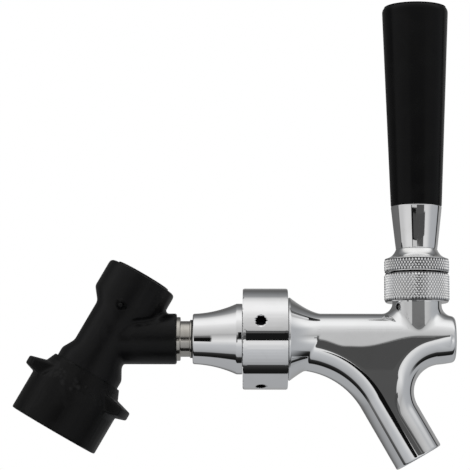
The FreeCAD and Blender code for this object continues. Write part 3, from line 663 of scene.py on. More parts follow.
def effect_tree(effect: Effect) -> bpy.types.NodeTree:
    """Shader node group of a shared effect, built once.

    Args:
        effect: which one.

    Returns:
        Its group. Each gives values only: a height, and a mask from 0 to 1.
    """
    known = bpy.data.node_groups.get(effect.value)
    if known:
        return known
    tree = bpy.data.node_groups.new(effect.value, "ShaderNodeTree")
    tree.interface.new_socket(name="Scale", in_out="INPUT", socket_type="NodeSocketFloat")
    if effect is Effect.TURNING:
        tree.interface.new_socket(name="Axis", in_out="INPUT", socket_type="NodeSocketVector")
    for name in ("Height", "Mask"):
        tree.interface.new_socket(name=name, in_out="OUTPUT", socket_type="NodeSocketFloat")
    wiring = Wiring(tree)
    given = wiring.node("NodeGroupInput")
    result = wiring.node("NodeGroupOutput")
    spot = wiring.spot()
    scale = given.outputs["Scale"]
    if effect is Effect.GRAIN:
        fine = wiring.node("ShaderNodeTexNoise", {"Vector": spot, "Scale": scale, "Detail": 3.0})
        broad = wiring.node("ShaderNodeTexNoise", {
            "Vector": spot, "Scale": wiring.math("MULTIPLY", scale, 0.06), "Detail": 2.0})
    elif effect is Effect.TURNING:
        along = wiring.vector("DOT_PRODUCT", spot, given.outputs["Axis"], output="Value")
        way = wiring.math("MULTIPLY", along, scale)
        fine = wiring.node("ShaderNodeTexNoise", {"W": way, "Scale": 1.0, "Detail": 4.0}, noise_dimensions="1D")
        broad = wiring.node("ShaderNodeTexNoise", {
            "W": wiring.math("MULTIPLY", way, 0.08), "Scale": 1.0, "Detail": 1.0}, noise_dimensions="1D")
    if effect is not Effect.HANDLING:
        height, mask = fine.outputs["Fac"], wiring.between(broad.outputs["Fac"], 0.3, 0.7, 0.0, 1.0)
    else:
        smears = wiring.node("ShaderNodeTexNoise", {
            "Vector": spot, "Scale": scale, "Detail": 5.0, "Roughness": 0.62, "Distortion": 0.8})
        specks = wiring.node("ShaderNodeTexVoronoi", {
            "Vector": spot, "Scale": wiring.math("MULTIPLY", scale, 14.0), "Randomness": 1.0})
        dust = wiring.between(specks.outputs["Distance"], 0.03, 0.09, 1.0, 0.0)
        height, mask = dust, wiring.between(smears.outputs["Fac"], 0.42, 0.72, 0.0, 1.0)
    wiring.feed(result.inputs["Height"], height)
    wiring.feed(result.inputs["Mask"], mask)
    return tree


@dataclass(frozen=True)
class HoleShade:
    """Painted shade: a round dark mark about a hole's line, standing for the shade in and round the hole.

    Attributes:
        foot: a point of the line, in millimetres.
        way: unit vector out of the hole.
        inner: radius where the mark starts, in millimetres.
        outer: radius where it ends.
    """

    foot: Triple
    way: Triple
    inner: float
    outer: float

    def mask(self, wiring: Wiring) -> bpy.types.NodeSocket:
        """1 on the mark and 0 elsewhere."""
        off = wiring.vector("SUBTRACT", wiring.spot(), tuple(value * MM for value in self.foot))
        along = wiring.vector("DOT_PRODUCT", off, self.way, output="Value")
        far = wiring.vector("DOT_PRODUCT", off, off, output="Value")
        square = wiring.math("SUBTRACT", far, wiring.math("MULTIPLY", along, along))
        across = wiring.math("SQRT", wiring.math("MAXIMUM", square, 0.0))
        soft = 0.06 * MM
        mark = wiring.between(across, self.outer * MM - soft, self.outer * MM + soft, 1.0, 0.0)
        if self.inner > 0.0:
            start = wiring.between(across, self.inner * MM - soft, self.inner * MM + soft, 0.0, 1.0)
            mark = wiring.math("MULTIPLY", mark, start)
        return wiring.math("MULTIPLY", mark, wiring.math("GREATER_THAN", along, 0.0))


@dataclass(frozen=True)
class Finish:
    """A surface finish.

    Attributes:
        name: the material's name.
        slot: the part's material slot that it stands for; not used.
        colour: base colour.
        worn: colour where hands and tools have been.
        metallic: 1 for metal.
        smooth: lowest roughness.
        rough: highest roughness.
        effect: the shared effect that gives its relief.
        scale: the effect's detail per metre.
        relief: depth of the relief in metres.
        wave: depth of the slow waviness of a cast or moulded wall, in metres.
        axis: way across the turning lines.
        shine: how strongly a plastic mirrors, 0.5 being usual.
        painted_shade_radii: radii about the handle's line between which the knurl's valleys are darkened as
            painted shade.
        hole_shades: painted shade, dark marks in and round holes.
    """

    name: str
    slot: str
    colour: Colour
    worn: Colour
    metallic: float
    smooth: float
    rough: float
    effect: Effect
    scale: float
    relief: float
    wave: float = 0.0
    axis: Triple = UP
    shine: float = 0.5
    painted_shade_radii: tuple[float, float] | None = None
    hole_shades: tuple[HoleShade, ...] = ()

    def material(self) -> bpy.types.Material:
        """The finish's material, built the first time that it is asked for."""
        known = bpy.data.materials.get(self.name)
        if known:
            return known
        made, wiring = bare_material(self.name)
        shader = wiring.node("ShaderNodeBsdfPrincipled")
        output = wiring.node("ShaderNodeOutputMaterial", {"Surface": shader.outputs["BSDF"]})
        output.is_active_output = True
        relief = wiring.node("ShaderNodeGroup", node_tree=effect_tree(self.effect))
        relief.inputs["Scale"].default_value = self.scale
        if self.effect is Effect.TURNING:
            relief.inputs["Axis"].default_value = self.axis
        handled = wiring.node("ShaderNodeGroup", node_tree=effect_tree(Effect.HANDLING))
        handled.inputs["Scale"].default_value = 70.0
        marks = wiring.math("MULTIPLY", handled.outputs["Mask"], 0.7)
        colour = wiring.mix(marks, (*self.colour, 1.0), (*self.worn, 1.0))
        # Painted shade: the knurl's valleys are darkened in the base colour to stand for the shade between the
        # diamonds.
        if self.painted_shade_radii:
            colour = wiring.mix(self.painted_valley_shade(wiring), colour, (0.12, 0.12, 0.125, 1.0))
        # Painted shade: near-black base colour in and round holes, standing for their shade.
        for hole_shade in self.hole_shades:
            colour = wiring.mix(hole_shade.mask(wiring), colour, (0.004, 0.004, 0.005, 1.0))
        wiring.feed(shader.inputs["Base Color"], colour)
        spread = wiring.math("MULTIPLY_ADD", relief.outputs["Mask"], 0.4, marks)
        roughness = wiring.between(spread, 0.0, 1.1, self.smooth, self.rough, soft=False)
        wiring.feed(shader.inputs["Roughness"], roughness)
        shader.inputs["Metallic"].default_value = self.metallic
        shader.inputs["Specular IOR Level"].default_value = self.shine
        slow = wiring.node("ShaderNodeTexNoise", {
            "Vector": wiring.spot(), "Scale": 90.0, "Detail": 1.0})
        slow_bump = wiring.node("ShaderNodeBump", {
            "Height": slow.outputs["Fac"], "Strength": 1.0, "Distance": self.wave})
        fine_bump = wiring.node("ShaderNodeBump", {
            "Height": relief.outputs["Height"], "Strength": 1.0, "Distance": self.relief,
            "Normal": slow_bump.outputs["Normal"]})
        wiring.feed(shader.inputs["Normal"], fine_bump.outputs["Normal"])
        return made

    def painted_valley_shade(self, wiring: Wiring) -> bpy.types.NodeSocket:
        """Mask of the band of radii about the handle's line where the knurl's valleys lie, which get painted
        shade.
        """
        foot = CentreLine.HANDLE.value[0]
        off = wiring.vector("SUBTRACT", wiring.spot(), (foot[0] * MM, foot[1] * MM, 0.0))
        parts = wiring.node("ShaderNodeSeparateXYZ", {0: off}).outputs
        square = wiring.math("MULTIPLY", parts["Y"], parts["Y"])
        radius = wiring.math("SQRT", wiring.math("MULTIPLY_ADD", parts["X"], parts["X"], square))
        low, high = (value * MM for value in self.painted_shade_radii)
        over = wiring.between(radius, low, (low + high) / 2, 1.0, 0.0)
        under = wiring.between(radius, low - 0.06 * MM, low - 0.03 * MM, 0.0, 1.0)
        return wiring.math("MULTIPLY", over, under)


CHROME_CAST = Finish("polished chrome on casting", "chrome", (0.86, 0.865, 0.87), (0.80, 0.80, 0.80), 1.0,
                     0.02, 0.06, Effect.HANDLING, 90.0, 2.0e-6, 1.6e-5)
CHROME_TURNED = Finish("polished chrome on turned brass", "chrome", (0.87, 0.87, 0.875), (0.81, 0.81, 0.81),
                       1.0, 0.02, 0.06, Effect.HANDLING, 90.0, 1.5e-6, 0.5e-5)
# Chrome of the knurls, whose valleys get painted shade between the radii given last.
CHROME_KNURLED = Finish("chrome on knurling with painted valley shade", "chrome", (0.88, 0.88, 0.88), (0.74, 0.73, 0.71), 1.0,
                        0.06, 0.16, Effect.GRAIN, 1500.0, 4.0e-6, 0.6e-5, painted_shade_radii=(12.60, 12.86))
# Painted shade: a near-black, dull colour that stands for the shade of the gap between the insert's lip and the
# adapter.
PAINTED_GAP_SHADE = Finish("painted shade of the gap at the insert's lip", "chrome", (0.008, 0.009, 0.010), (0.015, 0.015, 0.015), 0.0,
                   0.6, 0.8, Effect.GRAIN, 1800.0, 4.0e-6, shine=0.05)
HOLE_LIGHT = Finish("bare metal of the vent", "chrome", (0.75, 0.76, 0.77), (0.7, 0.7, 0.7), 1.0,
                    0.3, 0.45, Effect.GRAIN, 1800.0, 4.0e-6)
# Turned stainless steel whose colour is darkened as painted shade, for the shade that the disconnect and
# adapter cast on the nipple.
STEEL_NIPPLE_SHADED = Finish("turned stainless steel darkened as painted shade", "stainless", (0.52, 0.50, 0.46), (0.42, 0.40, 0.36), 1.0,
                      0.08, 0.18, Effect.TURNING, 9000.0, 6.0e-6, axis=ALONG_BARREL)
STEEL_BARREL = Finish("turned stainless steel", "stainless", (0.64, 0.63, 0.61), (0.55, 0.54, 0.52), 1.0,
                      0.22, 0.34, Effect.TURNING, 9000.0, 6.0e-6, axis=ALONG_BARREL)
STEEL_LEVER = Finish("stainless steel of the lever", "stainless", (0.64, 0.63, 0.61), (0.55, 0.54, 0.52), 1.0,
                     0.18, 0.30, Effect.TURNING, 9000.0, 5.0e-6)
STEEL_VALVE = Finish("stainless steel of the valve", "stainless", (0.62, 0.61, 0.60), (0.52, 0.51, 0.50), 1.0,
                     0.22, 0.36, Effect.TURNING, 8000.0, 6.0e-6, axis=ALONG_DISCONNECT)
MOULDED_BLACK = Finish("moulded black plastic", "black_plastic", (0.0034, 0.0034, 0.0037),
                       (0.006, 0.006, 0.0064), 0.0, 0.28, 0.44, Effect.GRAIN, 2600.0, 0.35e-5, 2.0e-5,
                       shine=0.16)
COLLAR_BLACK = Finish("moulded black plastic of the collar", "black_plastic", (0.0028, 0.0028, 0.0029),
                      (0.006, 0.006, 0.006), 0.0, 0.30, 0.46, Effect.GRAIN, 2200.0, 0.4e-5, 2.0e-5, shine=0.14)
GRIP_BLACK = Finish("glossy black plastic of the grip", "grip_plastic", (0.0022, 0.0022, 0.0024),
                    (0.0034, 0.0034, 0.0036), 0.0, 0.20, 0.34, Effect.GRAIN, 1800.0, 3.0e-6, 2.0e-5, shine=0.13)
NYLON = Finish("white nylon", "white_nylon", (0.80, 0.79, 0.75), (0.70, 0.68, 0.62), 0.0,
               0.38, 0.55, Effect.GRAIN, 2400.0, 8.0e-6)
RUBBER = Finish("seal rubber", "seal_rubber", (0.022, 0.022, 0.023), (0.04, 0.04, 0.04), 0.0,
                0.55, 0.75, Effect.GRAIN, 3200.0, 1.4e-5)
BRASS = Finish("turned brass", "brass", (0.76, 0.58, 0.29), (0.60, 0.44, 0.22), 1.0,
               0.2, 0.36, Effect.TURNING, 9000.0, 6.0e-6)


def dress(made: bpy.types.Object, finish: Finish, body: str, *nodes: str) -> bpy.types.Object:
    """Gives a finished piece its material, body and the CAD nodes that it stands for.

    Args:
        made: the piece.
        finish: its finish.
        body: the body that it moves with.
        nodes: CAD nodes that it replaces.

    Returns:
        The piece.
    """
    made.data.materials.clear()
    made.data.materials.append(finish.material())
    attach(made, body)
    if nodes:
        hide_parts(*nodes)
    log.info("%s: %d faces, rides on %s", made.name, len(made.data.polygons), body)
    return made


def repaint(made: bpy.types.Object, finish: Finish, line: CentreLine,
            chosen: Callable[[np.ndarray], np.ndarray]) -> None:
    """Gives some faces of a dressed piece another finish.

    Args:
        made: the piece.
        finish: the other finish.
        line: the line that the faces' middles are measured from.
        chosen: tells from the middles, in millimetres, which faces are meant.
    """
    mesh = made.data
    middles = np.empty(len(mesh.polygons) * 3)
    mesh.polygons.foreach_get("center", middles)
    spots = (middles.reshape(-1, 3) / MM - np.array(line.value[0])) @ line.turn().T
    present = np.empty(len(mesh.polygons), np.int32)
    mesh.polygons.foreach_get("material_index", present)
    mesh.materials.append(finish.material())
    present[chosen(spots)] = len(mesh.materials) - 1
    mesh.polygons.foreach_set("material_index", present)
    mesh.update()


# What repeats: knurling


def knurl_tree() -> bpy.types.NodeTree:
    """Geometry node tree of a diamond knurl: blunt pyramids in staggered rows round a ring."""
    known = bpy.data.node_groups.get("Diamond knurl")
    if known:
        return known
    tree = bpy.data.node_groups.new("Diamond knurl", "GeometryNodeTree")
    tree.interface.new_socket(name="Geometry", in_out="OUTPUT", socket_type="NodeSocketGeometry")
    for name, kind in (
        ("Columns", "Int"), ("Rows", "Int"), ("Radius", "Float"), ("Foot", "Float"), ("Pitch", "Float"),
        ("Half width", "Float"), ("Half height", "Float"), ("Depth", "Float"), ("Blunt", "Float"),
        ("Finish", "Material"),
    ):
        tree.interface.new_socket(name=name, in_out="INPUT", socket_type="NodeSocket" + kind)
    wiring = Wiring(tree)
    given = wiring.node("NodeGroupInput").outputs
    index = wiring.node("GeometryNodeInputIndex").outputs[0]
    row = wiring.math("FLOOR", wiring.math("DIVIDE", wiring.math("ADD", index, 0.5), given["Columns"]))
    column = wiring.math("SUBTRACT", index, wiring.math("MULTIPLY", row, given["Columns"]))
    shift = wiring.math("MULTIPLY", wiring.math("FLOORED_MODULO", row, 2.0), 0.5)
    share = wiring.math("DIVIDE", wiring.math("ADD", column, shift), given["Columns"])
    angle = wiring.math("MULTIPLY", share, 2 * math.pi)
    spot = wiring.node("ShaderNodeCombineXYZ", {
        "X": wiring.math("MULTIPLY", wiring.math("COSINE", angle), given["Radius"]),
        "Y": wiring.math("MULTIPLY", wiring.math("SINE", angle), given["Radius"]),
        "Z": wiring.math("MULTIPLY_ADD", row, given["Pitch"], given["Foot"]),
    })
    points = wiring.node("GeometryNodePoints", {
        "Count": wiring.math("MULTIPLY", given["Columns"], given["Rows"]), "Position": spot.outputs[0]})
    pyramid = wiring.node("GeometryNodeMeshCone", {
        "Vertices": 4, "Radius Top": given["Blunt"], "Radius Bottom": 1.0, "Depth": 1.0})
    facing = wiring.node("ShaderNodeCombineXYZ", {
        "X": math.pi / 2, "Z": wiring.math("ADD", angle, math.pi / 2)})
    size = wiring.node("ShaderNodeCombineXYZ", {
        "X": given["Half width"], "Y": given["Half height"], "Z": given["Depth"]})
    placed = wiring.node("GeometryNodeInstanceOnPoints", {
        "Points": points.outputs[0], "Instance": pyramid.outputs["Mesh"],
        "Rotation": facing.outputs[0], "Scale": size.outputs[0]})
    real = wiring.node("GeometryNodeRealizeInstances", {"Geometry": placed.outputs[0]})
    painted = wiring.node("GeometryNodeSetMaterial", {
        "Geometry": real.outputs[0], "Material": given["Finish"]})
    wiring.node("NodeGroupOutput", {"Geometry": painted.outputs[0]})
    return tree


def grown(name: str, tree: bpy.types.NodeTree, inputs: dict[str, object], line: CentreLine,
          smooth: bool) -> bpy.types.Object:
    """Plain mesh that a geometry node tree makes round a centre line.

    Args:
        name: the piece's name.
        tree: the geometry node tree, whose lengths are in millimetres.
        inputs: its inputs by name.
        line: the line that it is made round.
        smooth: whether its shading is smooth.

    Returns:
        The object, in place.
    """
    seed = bpy.data.objects.new(name + " seed", bpy.data.meshes.new(name + " seed"))
    bpy.context.scene.collection.objects.link(seed)
    modifier = seed.modifiers.new(tree.name, "NODES")
    modifier.node_group = tree
    for item in tree.interface.items_tree:
        if item.in_out == "INPUT" and item.name in inputs:
            modifier[item.identifier] = inputs[item.name]
    graph = bpy.context.evaluated_depsgraph_get()
    mesh = bpy.data.meshes.new_from_object(seed.evaluated_get(graph))
    seed.modifiers.clear()
    bpy.data.objects.remove(seed)
    mesh.name = name
    points = np.empty(len(mesh.vertices) * 3)
    mesh.vertices.foreach_get("co", points)
    mesh.vertices.foreach_set("co", line.place(points.reshape(-1, 3)).ravel())
    mesh.polygons.foreach_set("use_smooth", [smooth] * len(mesh.polygons))
    mesh.update()
    made = bpy.data.objects.new(name, mesh)
    bpy.context.scene.collection.objects.link(made)
    return made


@dataclass(frozen=True)
class Knurl:
    """Diamond knurling on a ring of the handle.

    Attributes:
        root: radius at the foot of the diamonds.
        tip: radius over them.
        bottom: lowest point of the knurled band, from the lever's ball.
        top: its highest point.
        columns: diamonds round the ring.
        tall: half height of a diamond.
        blunt: width of a diamond's flat top as a share of its foot.
    """

    root: float
    tip: float
    bottom: float
    top: float
    columns: int = 62
    tall: float = 1.02
    blunt: float = 0.16

    def build(self, name: str, finish: Finish) -> bpy.types.Object:
        """The diamonds as one mesh."""
        room = self.top - self.bottom - 2 * self.tall
        rows = round(room / self.tall) + 1
        return grown(name, knurl_tree(), {
            "Columns": self.columns, "Rows": rows, "Radius": self.root, "Foot": self.bottom + self.tall,
            "Pitch": room / (rows - 1), "Half width": math.pi * self.tip / self.columns,
            "Half height": self.tall, "Depth": self.tip - self.root, "Blunt": self.blunt,
            "Finish": finish.material(),
        }, CentreLine.HANDLE, False)


# The tap


@dataclass(frozen=True)
class Run:
    """Straight part of the web's outline, from one point of its plane to another."""

    start: np.ndarray
    end: np.ndarray

    def nearest(self, spots: np.ndarray) -> np.ndarray:
        """Point of the run that is nearest to each spot."""
        run = self.end - self.start
        t = np.clip((spots - self.start) @ run / (run @ run), 0, 1)
        return self.start + np.outer(t, run)


@dataclass(frozen=True)
class Bend:
    """Arc of the web's outline.

    Attributes:
        centre: its middle, in the web's plane.
        radius: its radius.
        hand: -1 where it turns to the rear, 1 where it turns to the front.
        first: angle from straight up where it starts, in radians.
        last: angle where it ends.
    """

    centre: np.ndarray
    radius: float
    hand: int
    first: float
    last: float

    def at(self, angle: np.ndarray) -> np.ndarray:
        """Points of the arc at these angles."""
        return self.centre + self.radius * np.stack([self.hand * np.sin(angle), np.cos(angle)], axis=1)

    def nearest(self, spots: np.ndarray) -> np.ndarray:
        """Point of the arc that is nearest to each spot."""
        away = spots - self.centre
        return self.at(np.clip(np.arctan2(self.hand * away[:, 0], away[:, 1]), self.first, self.last))


@dataclass(frozen=True)
class FaucetBody:
    """Cast body: threaded inlet, flange, flare, barrel with its nose, web with the spout, and neck."""

    rear: float = 62.3
    thread_radius: float = 14.2
    flange_start: float = 72.2
    flange_radius: float = 17.0
    flare_start: float = 72.3
    flare_end: float = 85.2
    flare_power: float = 1.5
    barrel: float = 10.15
    nose: float = 138.7
    taper_length: float = 9.0
    taper: float = 1.2
    nose_round: float = 2.0
    nose_lift: float = 15.0
    rear_lift: float = 10.0
    web_edge_radius: float = 10.0
    flank_lean: float = 9.5
    flank_edge: float = 4.0
    rear_level: float = -2.4
    rear_bend: float = 40.5
    front_bend: float = 20.8
    spout_end: tuple[float, float] = (124.0, -46.9)
    spout_lean: float = 30.0
    handle: float = 123.6
    neck: float = 9.8
    neck_top: float = 20.8
    neck_fillet: float = 4.4
    web_fillet: float = 2.5
    web_sink: float = 0.035
    web_emerges: float = 85.0
    web_from: float = 73.2
    web_to: float = 137.0
    vent_angle: float = 216.0
    vent_radius: float = 0.95
    vent_height: float = 12.6
    inlet_bore: float = 9.0
    inlet_end: float = 79.0
    bore: float = 5.5
    bore_length: float = 52.5
    spout_bore: float = 6.2
    mouth_bore: float = 7.0
    mouth_depth: float = 15.0
    joint_bore: float = 7.6
    joint_bottom: float = 12.0
    slot_radius: float = 3.49
    slot_length: float = 5.9
    slot_top: float = 13.0
    flank_top: tuple[tuple[float, float], ...] = (
        (60.0, -2.8), (79.0, -2.8), (84.0, -0.6), (95.0, -3.3), (100.0, -3.4), (124.4, 0.9), (150.0, 0.9))

    def skin(self) -> Field:
        """Turned outer form, from the flange to the nose."""
        drop = self.flange_radius - self.barrel
        length = self.flare_end - self.flare_start

        def field(points: np.ndarray) -> Samples:
            x, y, z = points.T
            far = np.maximum(np.hypot(y, z), TINY)
            back = np.clip(self.flare_end - x, 0.0, length) / length
            rise = drop * back ** self.flare_power
            steep = -self.flare_power * drop / length * back ** (self.flare_power - 1) * (back < 1.0)
            t = np.clip((x - self.nose + self.taper_length) / self.taper_length, 0.0, 1.3)
            radius = self.barrel + rise - self.taper * t ** 1.6
            slope = steep - 1.6 * self.taper * t ** 0.6 / self.taper_length
            scale = np.sqrt(1 + slope ** 2)
            way = np.stack([-slope, y / far, z / far], axis=1) / scale[:, None]
            return (far - radius) / scale, way

        whole = meet(self.nose_round, field, plane((1, 0, 0), self.nose))
        whole = meet(0.5, whole, plane((-1, 0, 0), -self.flange_start))
        stub = bar((self.rear, 0, 0), (1, 0, 0), self.thread_radius, self.flare_start - self.rear)
        return join(0.3, whole, stub)

    def path(self, turn_sign: int) -> tuple[np.ndarray, float, float]:
        """Arc of the web's rear edge (-1) or front edge (+1): centre, radius and turn."""
        slope = math.tan(math.radians(self.spout_lean))
        end_x, end_z = self.spout_end
        if turn_sign < 0:
            level, bend, turn = self.rear_level, self.rear_bend, 90 - self.spout_lean
        else:
            level, bend, turn = 0.0, self.front_bend, 90 + self.spout_lean
        corner = end_x + (end_z - level) * slope
        start = corner + turn_sign * bend * math.tan(math.radians(turn / 2))
        return np.array([start, level - bend]), bend, math.radians(turn)

    def web_edge(self) -> tuple[Field, np.ndarray]:
        """The web's middle outline.

        Returns:
            A function that gives the nearest point of the outline for points in its
            plane, and the polygon that it encloses.
        """
        lean = math.radians(self.spout_lean)
        down = np.array([math.sin(lean), -math.cos(lean)])
        end = np.array(self.spout_end) + down * 6.0
        pieces: list[Run | Bend] = []
        outline: list[np.ndarray] = []
        for sign, level_x in ((-1, self.web_from - 12.0), (1, self.web_to + 12.0)):
            centre, bend, turn = self.path(sign)
            lift = math.radians(self.nose_lift if sign > 0 else self.rear_lift)
            curve = Bend(centre, bend, -sign, lift, turn)
            arc = curve.at(np.linspace(lift, turn, 181))
            start = np.array([level_x, arc[0, 1] + abs(level_x - arc[0, 0]) * math.tan(lift)])
            pieces += [Run(start, arc[0]), curve, Run(arc[-1], end)]
            side = [np.array([level_x, 40.0]), start, *arc, end]
            outline += side if sign < 0 else side[::-1]
        polygon = np.array(outline)

        def nearest(spots: np.ndarray) -> Samples:
            best = np.full(len(spots), np.inf)
            off = np.zeros_like(spots)
            for piece in pieces:
                gap = spots - piece.nearest(spots)
                far = np.einsum("ij,ij->i", gap, gap)
                nearer = far < best
                best = np.where(nearer, far, best)
                off = np.where(nearer[:, None], gap, off)
            return np.sqrt(best), off

        return nearest, polygon

    def web(self) -> Field:
        """Flat-sided web and round spout, with a full-round edge at the rear and the front."""
        nearest, polygon = self.web_edge()
        knots_x, knots_z = np.array(self.flank_top).T
        tilt = math.radians(self.flank_lean)

        def sides(points: np.ndarray) -> Samples:
            x, y, z = points.T
            spots = np.stack([x, z], axis=1)
            far, off = nearest(spots)
            within = np.zeros(len(points), bool)
            for (x0, z0), (x1, z1) in zip(polygon, np.roll(polygon, -1, axis=0)):
                if z0 != z1:
                    within ^= ((z0 > z) != (z1 > z)) & (x < x0 + (x1 - x0) * (z - z0) / (z1 - z0))
            off = np.where(within[:, None], 0.0, off)
            n = np.clip(np.searchsorted(knots_x, x) - 1, 0, len(knots_x) - 2)
            t = np.clip((x - knots_x[n]) / (knots_x[n + 1] - knots_x[n]), 0, 1)
            top = knots_z[n] + (knots_z[n + 1] - knots_z[n]) * (1 - np.cos(math.pi * t)) / 2
            half = (self.barrel - top * math.sin(tilt)) / math.cos(tilt)
            half = half - self.web_sink * np.maximum(self.web_emerges - x, 0.0) ** 2
            squash = half / self.web_edge_radius
            reach = np.maximum(np.sqrt((off ** 2).sum(axis=1) * squash ** 2 + y ** 2), TINY)
            way = np.stack([squash ** 2 * off[:, 0], y, squash ** 2 * off[:, 1]], axis=1) / reach[:, None]
            steep = np.maximum(np.linalg.norm(way, axis=1), 0.5)
            return (reach - half) / steep, way / steep[:, None]

        def flanks(points: np.ndarray) -> Samples:
            hand = np.where(points[:, 1] < 0, -1.0, 1.0)
            lift = np.full_like(hand, math.sin(tilt))
            way = np.stack([np.zeros_like(hand), hand * math.cos(tilt), lift], axis=1)
            return np.einsum("ij,ij->i", points, way) - self.barrel, way

        slab = meet(self.flank_edge, sides, flanks)
        lid = self.barrel * math.sin(tilt)

        def field(points: np.ndarray) -> Samples:
            value, way = slab(points)
            x, _, z = points.T
            capped = z - lid > value
            return np.where(x < self.web_from, FAR_AWAY, np.where(capped, z - lid, value)), way

        lean = math.radians(self.spout_lean)
        down = (math.sin(lean), 0.0, -math.cos(lean))
        end = self.spout_end[0] * down[0] + self.spout_end[1] * down[2]
        return meet(1.4, meet(0.6, field, plane(down, end)), plane((1, 0, 0), self.web_to))

    def neck_form(self) -> Field:
        """Round neck under the bonnet, which runs down into the barrel."""
        wall = meet(0.4, rod((self.handle, 0, 0), (0, 0, 1), self.neck), plane((0, 0, 1), self.neck_top))

        def field(points: np.ndarray) -> Samples:
            value, way = wall(points)
            return np.where(points[:, 2] < 1.0, FAR_AWAY, value), way

        return field

    def hollows(self) -> Field:
        """Inlet, bore, spout, joint, slot for the lever's tongue and vent."""
        lean = math.radians(self.spout_lean)
        up = (-math.sin(lean), 0.0, math.cos(lean))
        mouth = (self.spout_end[0] - up[0], 0.0, self.spout_end[1] - up[2])
        vent = math.radians(self.vent_angle)
        return several(
            bar((self.rear - 1, 0, 0), ALONG_BARREL, self.inlet_bore, self.inlet_end - self.rear + 1),
            bar((self.inlet_end - 1, 0, 0), ALONG_BARREL, self.bore, self.bore_length),
            bar(mouth, up, self.spout_bore, 1.0 - self.spout_end[1] / math.cos(lean)),
            bar(mouth, up, self.mouth_bore, self.mouth_depth),
            bar((self.handle, 0, self.joint_bottom), UP, self.joint_bore, 9.8),
            bar((self.handle, 0, 0), UP, self.slot_radius, self.slot_top),
            bar((self.handle - self.slot_length, 0, 0), UP, self.slot_radius, self.slot_top),
            box((self.handle - self.slot_length / 2, 0, self.slot_top / 2),
                (self.slot_length / 2, self.slot_radius, self.slot_top / 2)),
            bar((self.handle, 0, self.vent_height), (math.cos(vent), math.sin(vent), 0),
                self.vent_radius, 12.0),
        )

    def fillet_at(self, points: np.ndarray) -> np.ndarray:
        """Fillet round the web: none at the flanks, full under the barrel."""
        return self.web_fillet * np.clip((-1.5 - points[:, 2]) / 4.0, 0.0, 1.0)

    def build(self) -> None:
        """Makes the casting and dresses it."""
        body = join(self.fillet_at, self.skin(), self.web())
        body = join(self.neck_fillet, body, self.neck_form())
        body = cut(0.35, body, self.hollows())
        maker = SkinMaker((61.0, -17.6, -53.4), (141.8, 17.6, 22.6), 0.34)
        vent = math.radians(self.vent_angle)
        foot = CentreLine.CROSSING.value[0]
        # Painted shade: a dark ring in and round the vent stands for the shade of the hole.
        ring = HoleShade((foot[0] + self.handle, foot[1], foot[2] + self.vent_height),
                   (math.cos(vent), math.sin(vent), 0.0), self.vent_radius - 0.05, self.vent_radius + 0.38)
        finish = replace(CHROME_CAST, name="polished chrome with painted shade round the vent", hole_shades=(ring,))
        made = dress(maker.skin("faucet_casting", body, CentreLine.CROSSING), finish, "tap", "faucet_body")

        def throat(spots: np.ndarray) -> np.ndarray:
            """Faces inside the vent, half a millimetre or more under the neck's skin."""
            x, y, z = (spots @ CentreLine.BARREL.turn()).T
            x = x - self.handle
            along = x * math.cos(vent) + y * math.sin(vent)
            across = np.hypot(-x * math.sin(vent) + y * math.cos(vent), z - self.vent_height)
            return (along > 0) & (across < self.vent_radius + 0.2) & (self.neck - np.hypot(x, y) >= 0.5)

        repaint(made, HOLE_LIGHT, CentreLine.BARREL, throat)


